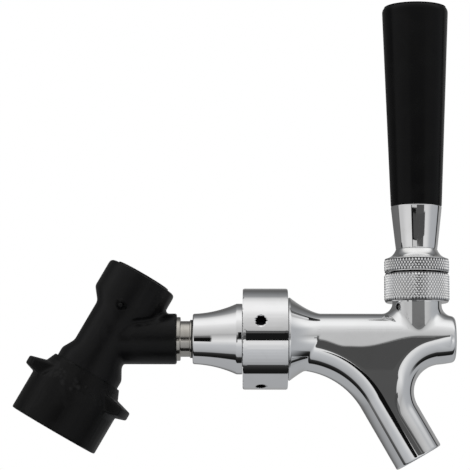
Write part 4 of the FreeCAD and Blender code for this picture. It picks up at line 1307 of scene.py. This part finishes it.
@dataclass(frozen=True)
class Coupling:
    """Chrome adapter cone, coupling nut with its spanner holes, and the steel insert."""

    adapter_start: float = 34.3
    adapter_rear: float = 10.0
    adapter_land: float = 14.05
    land_length: float = 1.8
    adapter_length: float = 19.2
    sag: float = 0.9
    spigot: float = 11.0
    spigot_length: float = 6.8
    nut_start: float = 54.15
    nut_length: float = 17.9
    nut_radius: float = 20.1
    nut_edge: float = 0.9
    hole_radius: float = 1.9
    hole_depth: float = 3.4
    hole_from_rear: float = 7.2
    hole_first_angle: float = 17.3
    bore: float = 3.5
    seat: float = 5.65
    seat_depth: float = 10.3
    nut_opening: float = 11.05
    nut_bore: float = 14.34
    nut_wall: float = 3.2
    insert_start: float = 27.9
    insert_rear: float = 11.95
    insert_cone: float = 14.0
    insert_length: float = 15.4
    insert_bore: float = 3.0
    insert_thread: float = 5.6
    insert_flange: float = 8.7
    insert_neck: float = 7.1
    insert_lip: float = 7.6
    insert_nose: float = 4.2

    def adapter(self) -> None:
        """Makes the cone with its spigot."""
        start, land = self.adapter_start, self.adapter_start + self.adapter_length - self.land_length
        end, tip = start + self.adapter_length, start + self.adapter_length + self.spigot_length
        floor = start + self.seat_depth
        made = turned("adapter_cone", [
            Corner(self.seat, start, 0.3), Corner(self.adapter_rear, start, 0.7, -self.sag),
            Corner(self.adapter_land, land, 0.35), Corner(self.adapter_land, end + 0.5, 0.25),
            Corner(self.spigot, end + 0.5, 0.1), Corner(self.spigot, tip, 0.3), Corner(self.bore, tip, 0.3),
            Corner(self.bore, floor, 0.1), Corner(self.seat, floor, 0.1),
        ], CentreLine.BARREL, 0.8)
        dress(made, CHROME_TURNED, "tap", "adapter")

    def nut(self) -> None:
        """Makes the nut with its four holes."""
        start, end = self.nut_start, self.nut_start + self.nut_length
        form = turned_form([
            Corner(self.nut_opening, start, 0.4), Corner(self.nut_radius, start, self.nut_edge),
            Corner(self.nut_radius, end, self.nut_edge), Corner(self.nut_bore, end, 0.5),
            Corner(self.nut_bore, start + self.nut_wall), Corner(self.nut_opening, start + self.nut_wall),
        ], way=ALONG_BARREL, round_steps=14)
        holes, hole_shades = [], []
        foot = CentreLine.CROSSING.value[0]
        for n in range(4):
            angle = math.radians(-self.hole_first_angle + 90 * n)
            way = (0.0, math.cos(angle), math.sin(angle))
            spot = start + self.hole_from_rear
            reach = self.nut_radius + 1.0
            mouth = (spot, -reach * way[1], -reach * way[2])
            holes.append(bar(mouth, way, self.hole_radius, self.hole_depth + 1))
            middle = (foot[0] + spot, foot[1], foot[2])
            # Painted shade: each spanner hole is darkened in the colour to stand for the shade inside it.
            hole_shades.append(HoleShade(middle, (0.0, -way[1], -way[2]), 0.0, self.hole_radius + 0.12))
        form = cut(0.15, form, several(*holes))
        maker = SkinMaker((start - 1.5, -21.3, -21.3), (end + 1.5, 21.3, 21.3), 0.31)
        finish = replace(CHROME_TURNED, name="polished chrome of the nut with painted shade in its holes", hole_shades=tuple(hole_shades))
        made = maker.skin("coupling_nut_shell", form, CentreLine.CROSSING)
        dress(made, finish, "coupling_nut", "coupling_nut")

    def insert(self) -> None:
        """Makes the insert's flange, neck, lip and nose."""
        start = self.insert_start
        rear, cone, tip = start - self.insert_rear, start + self.insert_cone, start + self.insert_length
        flange, neck, lip = start + 1.5, start + 5.3, start + 6.4
        made = turned("flare_nipple", [
            Corner(self.insert_bore, rear, 0.2), Corner(self.insert_thread, rear, 0.4),
            Corner(self.insert_thread, start, 0.05), Corner(self.insert_flange, start, 0.15),
            Corner(self.insert_flange, flange, 0.3), Corner(self.insert_neck, flange, 0.25),
            Corner(self.insert_neck, neck, 0.2), Corner(self.insert_lip, neck, 0.15),
            Corner(self.insert_lip, lip, 0.15), Corner(self.insert_thread, lip, 0.05),
            Corner(self.insert_thread, cone, 0.2), Corner(self.insert_nose, tip, 0.2),
            Corner(self.insert_bore, tip, 0.2),
        ], CentreLine.BARREL, 0.8)
        dress(made, STEEL_NIPPLE_SHADED, "tap", "flare_insert")
        # Painted shade: the lip's last 0.65 mm is made near black for the shade of the gap against the adapter.
        repaint(made, PAINTED_GAP_SHADE, CentreLine.BARREL, lambda spots: spots[:, 2] > lip - 0.65)

    def build(self) -> None:
        """Makes the coupling's pieces."""
        self.adapter()
        self.nut()
        self.insert()


@dataclass(frozen=True)
class Handle:
    """Knurled bonnet and collar, ferrule and grip."""

    ring: float = 13.0
    knurl_depth: float = 0.36
    bonnet_bottom: float = -4.4
    bonnet_top: float = 7.0
    bonnet_edge: float = 0.7
    collar: float = 12.95
    collar_edge: float = 13.0
    collar_top: float = 16.9
    hollow: float = 14.965
    hub: float = 6.6
    stem: float = 4.81
    ferrule_foot: float = 8.25
    ferrule_top: float = 10.2
    ferrule_length: float = 17.3
    grip_length: float = 81.8
    grip_top: float = 13.35
    grip_corner: float = 2.4
    grip_dome: float = 0.8
    bonnet_bore: float = 9.85
    bonnet_roof: float = 4.65
    bonnet_mouth: float = 6.1
    bonnet_face: float = 7.6
    ferrule_bore: float = 5.2
    ferrule_seat: float = 6.65
    ferrule_seat_depth: float = 5.05
    grip_foot: float = 10.2
    grip_bore: float = 7.05
    grip_bore_depth: float = 22.05

    def bonnet(self) -> None:
        """Makes the lower ring, which is screwed over the casting's neck."""
        root = self.ring - self.knurl_depth
        low, high = self.bonnet_bottom, self.bonnet_top
        made = turned("bonnet_ring", [
            Corner(self.bonnet_bore, low, 0.2), Corner(self.ring - self.bonnet_edge, low, 0.2),
            Corner(root, low + self.bonnet_edge - 0.3, 0.1), Corner(root, high, 0.15),
            Corner(self.bonnet_face, high, 0.4), Corner(self.bonnet_mouth, self.bonnet_roof, 0.2),
            Corner(self.bonnet_bore, self.bonnet_roof, 0.05),
        ], CentreLine.HANDLE, 0.8)
        dress(made, CHROME_KNURLED, "tap", "bonnet")
        knurl = Knurl(root - 0.05, self.ring, low + 0.45, high - 0.1)
        dress(knurl.build("bonnet_knurl", CHROME_KNURLED), CHROME_KNURLED, "tap")

    def lever_collar(self) -> None:
        """Makes the upper ring, whose hollow passes over the bonnet like a ball cup."""
        rim = math.sqrt(self.hollow ** 2 - self.collar ** 2)
        root = self.collar - self.knurl_depth
        hub_top = self.collar_top + 5.0
        inside = []
        top_angle = math.acos(self.stem / self.hollow)
        rim_angle = math.acos(self.collar / self.hollow)
        for angle in np.linspace(top_angle, rim_angle + 0.02, 16):
            inside.append(Corner(self.hollow * math.cos(angle), self.hollow * math.sin(angle)))
        made = turned("collar_ring", [
            Corner(root, rim + 0.1, 0.05), Corner(root, self.collar_edge - 0.45, 0.08),
            Corner(self.collar - 0.15, self.collar_edge - 0.25, 0.08),
            Corner(self.collar - 0.3, self.collar_edge, 0.15, -0.8),
            Corner(self.ferrule_foot, self.collar_top, 0.2), Corner(self.hub, self.collar_top, 0.1),
            Corner(self.hub, hub_top, 0.3), Corner(self.stem, hub_top, 0.2), *inside,
        ], CentreLine.HANDLE, 0.6)
        dress(made, CHROME_KNURLED, "handle", "lever_collar")
        knurl = Knurl(root - 0.05, self.collar, rim + 0.15, self.collar_edge - 0.2)
        dress(knurl.build("collar_knurl", CHROME_KNURLED), CHROME_KNURLED, "handle")

    def ferrule(self) -> None:
        """Makes the plain chrome cone under the grip."""
        low, high = self.collar_top, self.collar_top + self.ferrule_length
        floor = low + self.ferrule_seat_depth
        made = turned("ferrule_cone", [
            Corner(self.ferrule_seat, low, 0.1), Corner(self.ferrule_foot, low, 0.35, 0.03),
            Corner(self.ferrule_top, high, 0.45), Corner(self.ferrule_bore, high, 0.3),
            Corner(self.ferrule_bore, floor, 0.1), Corner(self.ferrule_seat, floor, 0.1),
        ], CentreLine.HANDLE, 0.8)
        dress(made, CHROME_TURNED, "handle", "handle_ferrule")

    def grip(self) -> None:
        """Makes the long black grip."""
        low = self.collar_top + self.ferrule_length
        top = low + self.grip_length
        shoulder = top - self.grip_dome
        roof = low + self.grip_bore_depth
        made = turned("grip_shell", [
            Corner(0.0, roof), Corner(self.grip_bore, roof, 0.2), Corner(self.grip_bore, low, 0.2),
            Corner(self.grip_foot, low, 0.6), Corner(self.grip_top, shoulder, self.grip_corner),
            Corner(self.grip_top - self.grip_corner, shoulder + 0.35, 1.5), Corner(0.0, top),
        ], CentreLine.HANDLE, 2.0)
        dress(made, GRIP_BLACK, "handle", "handle_grip")

    def build(self) -> None:
        """Makes the handle's pieces."""
        self.bonnet()
        self.lever_collar()
        self.ferrule()
        self.grip()


# The disconnect


@dataclass(frozen=True)
class Disconnect:
    """Moulded body with its cap, and the sliding lock collar."""

    sleeve: float = 10.4
    shoulder: float = 13.6
    shoulder_bottom: float = 22.4
    shoulder_top: float = 30.4
    neck: float = 10.9
    neck_bottom: float = 35.2
    neck_top: float = 53.2
    head: float = 14.7
    head_bottom: float = 58.0
    head_top: float = 70.55
    head_corner: float = 1.9
    arm: float = 10.1
    arm_reach: float = 27.9
    crossing: float = 42.0
    skirt: float = 18.8
    skirt_top: float = 17.0
    collar_neck: float = 16.2
    rim: float = 14.6
    collar_top: float = 26.8
    wing_span: float = 23.0
    wing_half_width: float = 12.0
    post_bore: float = 8.05
    gallery: float = 7.5
    cap_bore: float = 10.55
    cap_seat: float = 12.45
    arm_hole: float = 4.0
    arm_thread: float = 5.65
    arm_thread_start: float = 15.9
    ball_hole: float = 1.62
    ball_height: float = 6.2
    cap_flange: float = 68.65
    cap_top: float = 71.25
    cap_radius: float = 12.4
    cap_plug: float = 10.5
    cap_boss: float = 7.2

    def body(self) -> None:
        """Makes the moulded body with its arm."""
        middle = (0, 0, self.crossing)
        skin = turned_form([
            Corner(0, 0), Corner(self.sleeve, 0, 0.3), Corner(self.sleeve, self.shoulder_bottom, 0.1),
            Corner(self.shoulder, self.shoulder_bottom, 0.3), Corner(self.shoulder, self.shoulder_top, 0.9),
            Corner(self.neck, self.neck_bottom, 1.2), Corner(self.neck, self.neck_top, 1.2),
            Corner(self.head, self.head_bottom, 0.9), Corner(self.head, self.head_top, self.head_corner),
            Corner(0, self.head_top),
        ])
        arm = turned_form([
            Corner(0, 0), Corner(self.arm, 0, 0.1),
            Corner(self.arm, self.arm_reach, 0.7), Corner(0, self.arm_reach),
        ], middle, ALONG_ARM)
        gate = bar((-0.9, -14.2, 55.8), (0, 1, 0), 0.9, 4.0)
        form = join(0.15, join(1.2, skin, arm), gate)
        hollow = turned_form([
            Corner(0, -1), Corner(8.4, -1), Corner(8.4, 8.4, 0.1), Corner(self.post_bore, 8.5, 0.1),
            Corner(self.post_bore, 16.0, 0.1), Corner(7.0, 17.0, 0.1), Corner(7.0, 19.0),
            Corner(4.6, 19.0), Corner(4.6, 21.5), Corner(self.gallery, 21.5), Corner(self.gallery, 60.0),
            Corner(self.cap_bore, 60.0), Corner(self.cap_bore, 68.6), Corner(self.cap_seat, 68.6),
            Corner(self.cap_seat, 71.8), Corner(0, 71.8),
        ])
        arm_bore = turned_form([
            Corner(0, 0), Corner(self.arm_hole, 0), Corner(self.arm_hole, self.arm_thread_start),
            Corner(self.arm_thread, self.arm_thread_start), Corner(self.arm_thread, self.arm_reach + 1),
            Corner(0, self.arm_reach + 1),
        ], middle, ALONG_ARM)
        groove = cut(0.0, bar((0, 0, 0.45), UP, 12.0, 1.1), rod(ORIGIN, UP, 9.7))
        balls = []
        for n in range(4):
            angle = math.radians(45 + 90 * n)
            way = (math.cos(angle), math.sin(angle), 0)
            balls.append(bar((0, 0, self.ball_height), way, self.ball_hole, 12.0))
        form = cut(0.3, form, several(hollow, arm_bore, groove, *balls))
        maker = SkinMaker((-16.2, -16.2, -1.4), (33.0, 16.2, 72.4), 0.46, 4)
        dress(maker.skin("disconnect_moulding", form, CentreLine.DISCONNECT), MOULDED_BLACK, "tap",
              "disconnect_body")

    def cap(self) -> None:
        """Makes the screwed cap with its coin slot."""
        flange, top = self.cap_flange, self.cap_top
        plug, boss = flange - 8.3, flange - 18.3
        form = turned_form([
            Corner(0, boss), Corner(self.cap_boss, boss, 0.2), Corner(self.cap_boss, plug, 0.1),
            Corner(self.cap_plug, plug, 0.2), Corner(self.cap_plug, flange, 0.1),
            Corner(self.cap_radius, flange, 0.1), Corner(self.cap_radius, top - 0.75, 0.25),
            Corner(11.4, top - 0.7, 0.1), Corner(11.3, top, 0.25), Corner(0, top),
        ])
        slot = box((0, 0, top + 0.1), (9.5, 0.9, 1.5))
        cup = bar((0, 0, boss - 1), UP, 5.7, 7.0)
        groove = cut(0.0, bar((0, 0, flange - 3.4), UP, 12.0, 1.6), rod(ORIGIN, UP, 9.1))
        form = cut(0.25, form, several(slot, cup, groove))
        maker = SkinMaker((-13.6, -13.6, boss - 1.5), (13.6, 13.6, top + 1.2), 0.4)
        dress(maker.skin("cap_disc", form, CentreLine.DISCONNECT), MOULDED_BLACK, "tap", "disconnect_cap")

    def collar(self) -> None:
        """Makes the sliding collar with its two finger wings and ribbed underside."""
        skin = turned_form([
            Corner(12.2, 0, 0.2), Corner(self.skirt, 0, 0.7), Corner(self.skirt, self.skirt_top, 0.7),
            Corner(self.collar_neck, 22.9, 0.5), Corner(self.collar_neck, 23.2, 0.2),
            Corner(self.rim, self.collar_top, 0.4), Corner(13.9, self.collar_top, 0.2), Corner(13.9, 13.0),
            Corner(10.45, 13.0), Corner(10.45, 11.0), Corner(11.88, 1.55), Corner(12.2, 1.55),
        ])
        wings = turned_form([
            Corner(14.0, 16.5), Corner(19.3, 16.5, 0.4), Corner(self.wing_span, 17.7, 0.7),
            Corner(self.wing_span, 21.0, 0.7), Corner(self.collar_neck, 22.9, 0.4), Corner(14.0, 22.9),
        ])
        width = self.wing_half_width
        wings = meet(0.7, meet(0.7, wings, plane((0, 1, 0), width)), plane((0, -1, 0), width))
        trough = turned_form([
            Corner(14.25, -1.0), Corner(16.8, -1.0), Corner(16.8, 11.0, 0.4), Corner(14.25, 11.0, 0.4),
        ])

        def ribs(points: np.ndarray) -> Samples:
            angle = np.arctan2(points[:, 1], points[:, 0])
            nearest = (np.round(angle / (math.pi / 4) - 0.5) + 0.5) * (math.pi / 4)
            across = np.stack([-np.sin(nearest), np.cos(nearest), np.zeros_like(angle)], axis=1)
            off = np.einsum("ij,ij->i", points, across)
            return np.abs(off) - 0.7, across * np.sign(off)[:, None]

        form = join(0.5, skin, wings)
        form = cut(0.3, form, cut(0.0, trough, ribs))
        maker = SkinMaker((-24.2, -20.0, -1.2), (24.2, 20.0, 28.0), 0.46, 4)
        dress(maker.skin("collar_moulding", form, CentreLine.DISCONNECT), COLLAR_BLACK, "lock_collar",
              "lock_collar")

    def build(self) -> None:
        """Makes the disconnect's pieces."""
        self.body()
        self.cap()
        self.collar()


@dataclass(frozen=True)
class InnerPieces:
    """Pieces that keep their CAD shape: seals, balls, rings, lever and valve."""

    def build(self) -> None:
        """Gives each its finish."""
        finishes: dict[Finish, tuple[str, ...]] = {
            RUBBER: ("cap_o_ring", "poppet_seal", "coupling_washer", "seat_washer"),
            NYLON: ("poppet", "flare_washer", "ball_washer", "friction_washer"),
            STEEL_VALVE: ("collar_stop_ring", "lock_ball_1", "lock_ball_2", "lock_ball_3", "lock_ball_4",
                          "poppet_spring", "collar_spring"),
            STEEL_BARREL: ("retaining_ring", "valve_shaft", "seat_nut"),
            STEEL_LEVER: ("lever",),
            BRASS: ("handle_insert",),
        }
        for finish, names in finishes.items():
            for name in names:
                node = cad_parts[name]
                node.data.materials.clear()
                node.data.materials.append(finish.material())
                log.info("%s keeps its CAD shape, in %s", name, finish.name)


# Studio


# What the tent shows, as stops: degrees from the front, screen code and tint
WALLS = (
    (-180, 98, 0), (-98, 104, 0), (-93, 84, 0), (-91, 190, 0), (-30, 193, 0), (38, 186, 0), (42, 178, -0.02),
    (109, 162, -0.03), (112, 30, 0), (119, 30, 0), (122, 150, 0), (180, 150, 0))
BANDS = (
    (-180, 158, -0.02), (-90, 163, -0.02), (-88, 13, 0), (-76, 30, 0), (-66, 50, 0), (-63, 154, -0.02),
    (-50, 171, -0.02), (-30, 187, -0.02), (-12, 224, 0), (14, 168, 0), (20, 184, 0), (36, 199, 0), (54, 221, 0),
    (64, 238, 0), (76, 242, 0), (88, 231, 0), (100, 205, 0), (108, 150, -0.01), (118, 124, -0.02), (135, 95, 0),
    (180, 110, 0))


def only_mirrored(made: bpy.types.Object) -> None:
    """Hides a studio piece from everything but mirrors."""
    made.visible_camera = made.visible_diffuse = made.visible_shadow = False
    made.visible_transmission = made.visible_volume_scatter = False


def strip(wiring: Wiring, turn: object, stops: tuple[Triple, ...]) -> bpy.types.NodeSocket:
    """Colour of a strip of the tent.

    Args:
        wiring: the tent's tree.
        turn: how far round the strip, 0 and 1 being behind and 0.5 in front.
        stops: degrees from the front, screen code and tint of each stop.

    Returns:
        The colour.
    """
    return wiring.ramp(turn, [(degrees / 360.0 + 0.5, grey(code, tint)) for degrees, code, tint in stops])


@dataclass(frozen=True)
class Card:
    """A grey card in front of the tap that only the chrome mirrors.

    Attributes:
        name: the card's name.
        distance: its place along Y, in millimetres.
        west: its left end.
        east: its right end.
        low: its lower edge.
        high: its upper edge.
        code: the screen code that it shows in the chrome.
    """

    name: str
    distance: float
    west: float
    east: float
    low: float
    high: float
    code: float


@dataclass(frozen=True)
class Studio:
    """Floor, soft light, white background and the pale tent that the chrome mirrors.

    The tent's bands stand for what surrounded the real tap: a bright ceiling, pale walls,
    a dark opening in front and dark strips below and behind.
    """

    floor_height: float = -0.040
    floor_half: float = 3.0
    tent_radius: float = 1.05
    tent_middle: Triple = (0.070, 0.0, 0.030)
    card_turn: tuple[float, float] = (-22.0, 34.0)
    card_height: tuple[float, float] = (-5.0, 10.0)
    day_strength: float = 0.85
    lamp_power: float = 3.0
    near_cards: tuple[Card, ...] = (
        Card("studio_card_bar", -300.0, 34.0, 366.0, 32.3, 50.8, 72.0),
        Card("studio_card_under", -60.0, 115.0, 138.4, 56.2, 61.4, 190.0),
        Card("studio_card_over", -60.0, 115.0, 138.4, 76.3, 79.5, 190.0),
        Card("studio_card_land", -60.0, 69.0, 70.7, 26.7, 46.0, 20.0),
        Card("studio_card_band", -60.0, 72.2, 90.0, 22.2, 37.4, 22.0),
        Card("studio_card_band_top", -60.0, 72.2, 90.0, 37.4, 42.2, 82.0))

    def world(self) -> None:
        """White behind everything, a little less on the object."""
        world = bpy.data.worlds.new("day")
        world.use_nodes = True
        world.node_tree.nodes.clear()
        wiring = Wiring(world.node_tree)
        path = wiring.node("ShaderNodeLightPath")
        seen = wiring.math("MAXIMUM", path.outputs["Is Camera Ray"], path.outputs["Is Glossy Ray"])
        seen = wiring.math("MAXIMUM", seen, path.outputs["Is Transmission Ray"])
        strength = wiring.math("MULTIPLY_ADD", seen, 1.0 - self.day_strength, self.day_strength)
        sky = wiring.node("ShaderNodeBackground", {"Color": (1.0, 1.0, 1.0, 1.0), "Strength": strength})
        wiring.node("ShaderNodeOutputWorld", {"Surface": sky.outputs[0]})
        bpy.context.scene.world = world

    def floor(self) -> None:
        """Plain pale floor, which the chrome doesn't mirror."""
        half = self.floor_half
        corners = np.array([[-half, -half], [half, -half], [half, half], [-half, half]])
        points = np.hstack([corners, np.full((4, 1), self.floor_height)])
        made = mesh_object("studio_floor", points, [[0, 1, 2, 3]], False)
        material = bpy.data.materials.new("pale floor")
        material.use_nodes = True
        shader = material.node_tree.nodes["Principled BSDF"]
        shader.inputs["Base Color"].default_value = (0.84, 0.84, 0.84, 1.0)
        shader.inputs["Roughness"].default_value = 0.9
        made.data.materials.append(material)
        made.visible_glossy = False

    def tent(self) -> None:
        """Sphere of light and dark bands, which only mirrors see."""
        rows, columns = 48, 96
        tilt = np.linspace(0, math.pi, rows + 1)
        turn = np.arange(columns) * (2 * math.pi / columns)
        points = np.stack([
            np.outer(np.sin(tilt), np.cos(turn)), np.outer(np.sin(tilt), np.sin(turn)),
            np.repeat(np.cos(tilt)[:, None], columns, axis=1)], axis=-1).reshape(-1, 3) * self.tent_radius
        faces = [
            [r * columns + c, (r + 1) * columns + c, (r + 1) * columns + (c + 1) % columns,
             r * columns + (c + 1) % columns]
            for r in range(rows) for c in range(columns)
        ]
        made = mesh_object("studio_tent", points, faces)
        made.location = self.tent_middle
        made.data.materials.append(self.tent_material())
        only_mirrored(made)

    def cards(self) -> None:
        """Cards in front, which give the ferrule its bar and the nut its band."""
        for card in self.near_cards:
            name, away, low, high = card.name, card.distance, card.low, card.high
            points = np.array([[card.west, away, low], [card.east, away, low],
                               [card.east, away, high], [card.west, away, high]]) * MM
            made = mesh_object(name, points, [[0, 1, 2, 3]], False)
            material, wiring = bare_material(name)
            wiring.glow((*grey(card.code), 1.0))
            made.data.materials.append(material)
            only_mirrored(made)

    def tent_material(self) -> bpy.types.Material:
        """Walls round the horizon, bands over and under them, and the dark card in front of the web."""
        material, wiring = bare_material("studio tent")
        unit = wiring.vector("NORMALIZE", wiring.spot())
        parts = wiring.node("ShaderNodeSeparateXYZ", {0: unit}).outputs
        front = wiring.math("MULTIPLY", parts["Y"], -1.0)
        round_turn = wiring.math("MULTIPLY_ADD", wiring.math("ARCTAN2", parts["X"], front), 0.5 / math.pi, 0.5)
        over_turn = wiring.math("MULTIPLY_ADD", wiring.math("ARCTAN2", parts["Z"], front), 0.5 / math.pi, 0.5)

        walls, bands = strip(wiring, round_turn, WALLS), strip(wiring, over_turn, BANDS)
        steep = wiring.between(wiring.math("ABSOLUTE", parts["Z"]), 0.26, 0.64, 0.0, 1.0)
        level = wiring.math("SQRT", wiring.math("MAXIMUM", wiring.math(
            "SUBTRACT", 1.0, wiring.math("MULTIPLY", parts["Z"], parts["Z"])), 1e-6))
        ahead = wiring.between(wiring.math("DIVIDE", front, level), 0.26, 0.70, 0.0, 1.0)
        surround = wiring.mix(wiring.math("MAXIMUM", steep, ahead), walls, bands)
        degrees = wiring.math("MULTIPLY_ADD", round_turn, 360.0, -180.0)
        height = wiring.math("MULTIPLY", wiring.math("ARCSINE", parts["Z"]), 180.0 / math.pi)

        def inside(value: object, low: float, high: float, soft: float) -> bpy.types.NodeSocket:
            """1 between two degrees, fading to 0 over the soft width outside them."""
            rise = wiring.between(value, low - soft, low, 0.0, 1.0)
            return wiring.math("MULTIPLY", rise, wiring.between(value, high, high + soft, 1.0, 0.0))

        card = wiring.math("MULTIPLY", inside(degrees, *self.card_turn, 3),
                           inside(height, *self.card_height, 1))
        fade = wiring.math("MULTIPLY", wiring.between(degrees, -25, -23, 0.0, 1.0),
                           wiring.between(degrees, -1.8, -0.8, 1.0, 0.0))
        edge = wiring.math("MULTIPLY", fade, inside(height, -14, 0.5, 1.5))
        shade = wiring.mix(wiring.between(height, 3.9, 4.4, 0, 1), (*grey(78), 1.0), (*grey(112), 1.0))
        shade = wiring.mix(edge, shade, (*grey(14), 1.0))
        card = wiring.math("MAXIMUM", card, edge)
        wiring.glow(wiring.mix(card, surround, shade))
        return material

    def lamp(self) -> None:
        """Large soft lamp from the upper left, for the shadow on the floor."""
        data = bpy.data.lights.new("soft lamp", "AREA")
        data.shape, data.size, data.energy = "DISK", 0.9, self.lamp_power
        lamp = bpy.data.objects.new("soft lamp", data)
        lamp.location = (-0.55, -0.75, 1.05)
        aim = Vector((0.07, 0.0, 0.03)) - Vector(lamp.location)
        lamp.rotation_mode = "QUATERNION"
        lamp.rotation_quaternion = aim.to_track_quat("-Z", "Y")
        lamp.visible_glossy = False
        bpy.context.scene.collection.objects.link(lamp)

    def build(self) -> None:
        """Sets up the studio."""
        self.world()
        self.floor()
        self.tent()
        self.cards()
        self.lamp()
        settings = bpy.context.scene.view_settings
        settings.view_transform = "Standard"
        log.info("studio: floor at %.0f mm, tent, lamp and white background", self.floor_height / MM)


@dataclass(frozen=True)
class Viewpoint:
    """Where the photograph was taken from."""

    azimuth: float = 0.3
    elevation: float = -6.5
    roll: float = -0.12
    distance: float = 0.9135
    target: Triple = (0.0678, 0.0, 0.0708)
    view_angle: float = 11.76

    def build(self) -> None:
        """Makes the camera."""
        data = bpy.data.cameras.new("camera")
        data.sensor_width = 36.0
        data.lens = 18.0 / math.tan(math.radians(self.view_angle / 2))
        data.clip_start, data.clip_end = 0.01, 20.0
        camera = bpy.data.objects.new("camera", data)
        a, e = math.radians(self.azimuth), math.radians(self.elevation)
        back = Vector((math.sin(a) * math.cos(e), -math.cos(a) * math.cos(e), math.sin(e)))
        camera.location = Vector(self.target) + back * self.distance
        camera.rotation_mode = "QUATERNION"
        spin = Matrix.Rotation(math.radians(-self.roll), 3, "Z").to_quaternion()
        camera.rotation_quaternion = (-back).to_track_quat("-Z", "Y") @ spin
        bpy.context.scene.collection.objects.link(camera)
        bpy.context.scene.camera = camera
        log.info("camera: %.1f degrees wide, %.0f mm away", self.view_angle, self.distance / MM)


def main() -> None:
    """Builds the whole tap, its studio and its camera."""
    logging.basicConfig(level=logging.INFO, format="%(name)s: %(message)s")
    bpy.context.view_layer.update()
    for part in (Viewpoint(), Studio(), FaucetBody(), Coupling(), Handle(), Disconnect(), InnerPieces()):
        part.build()


if __name__ == "__main__":
    main()
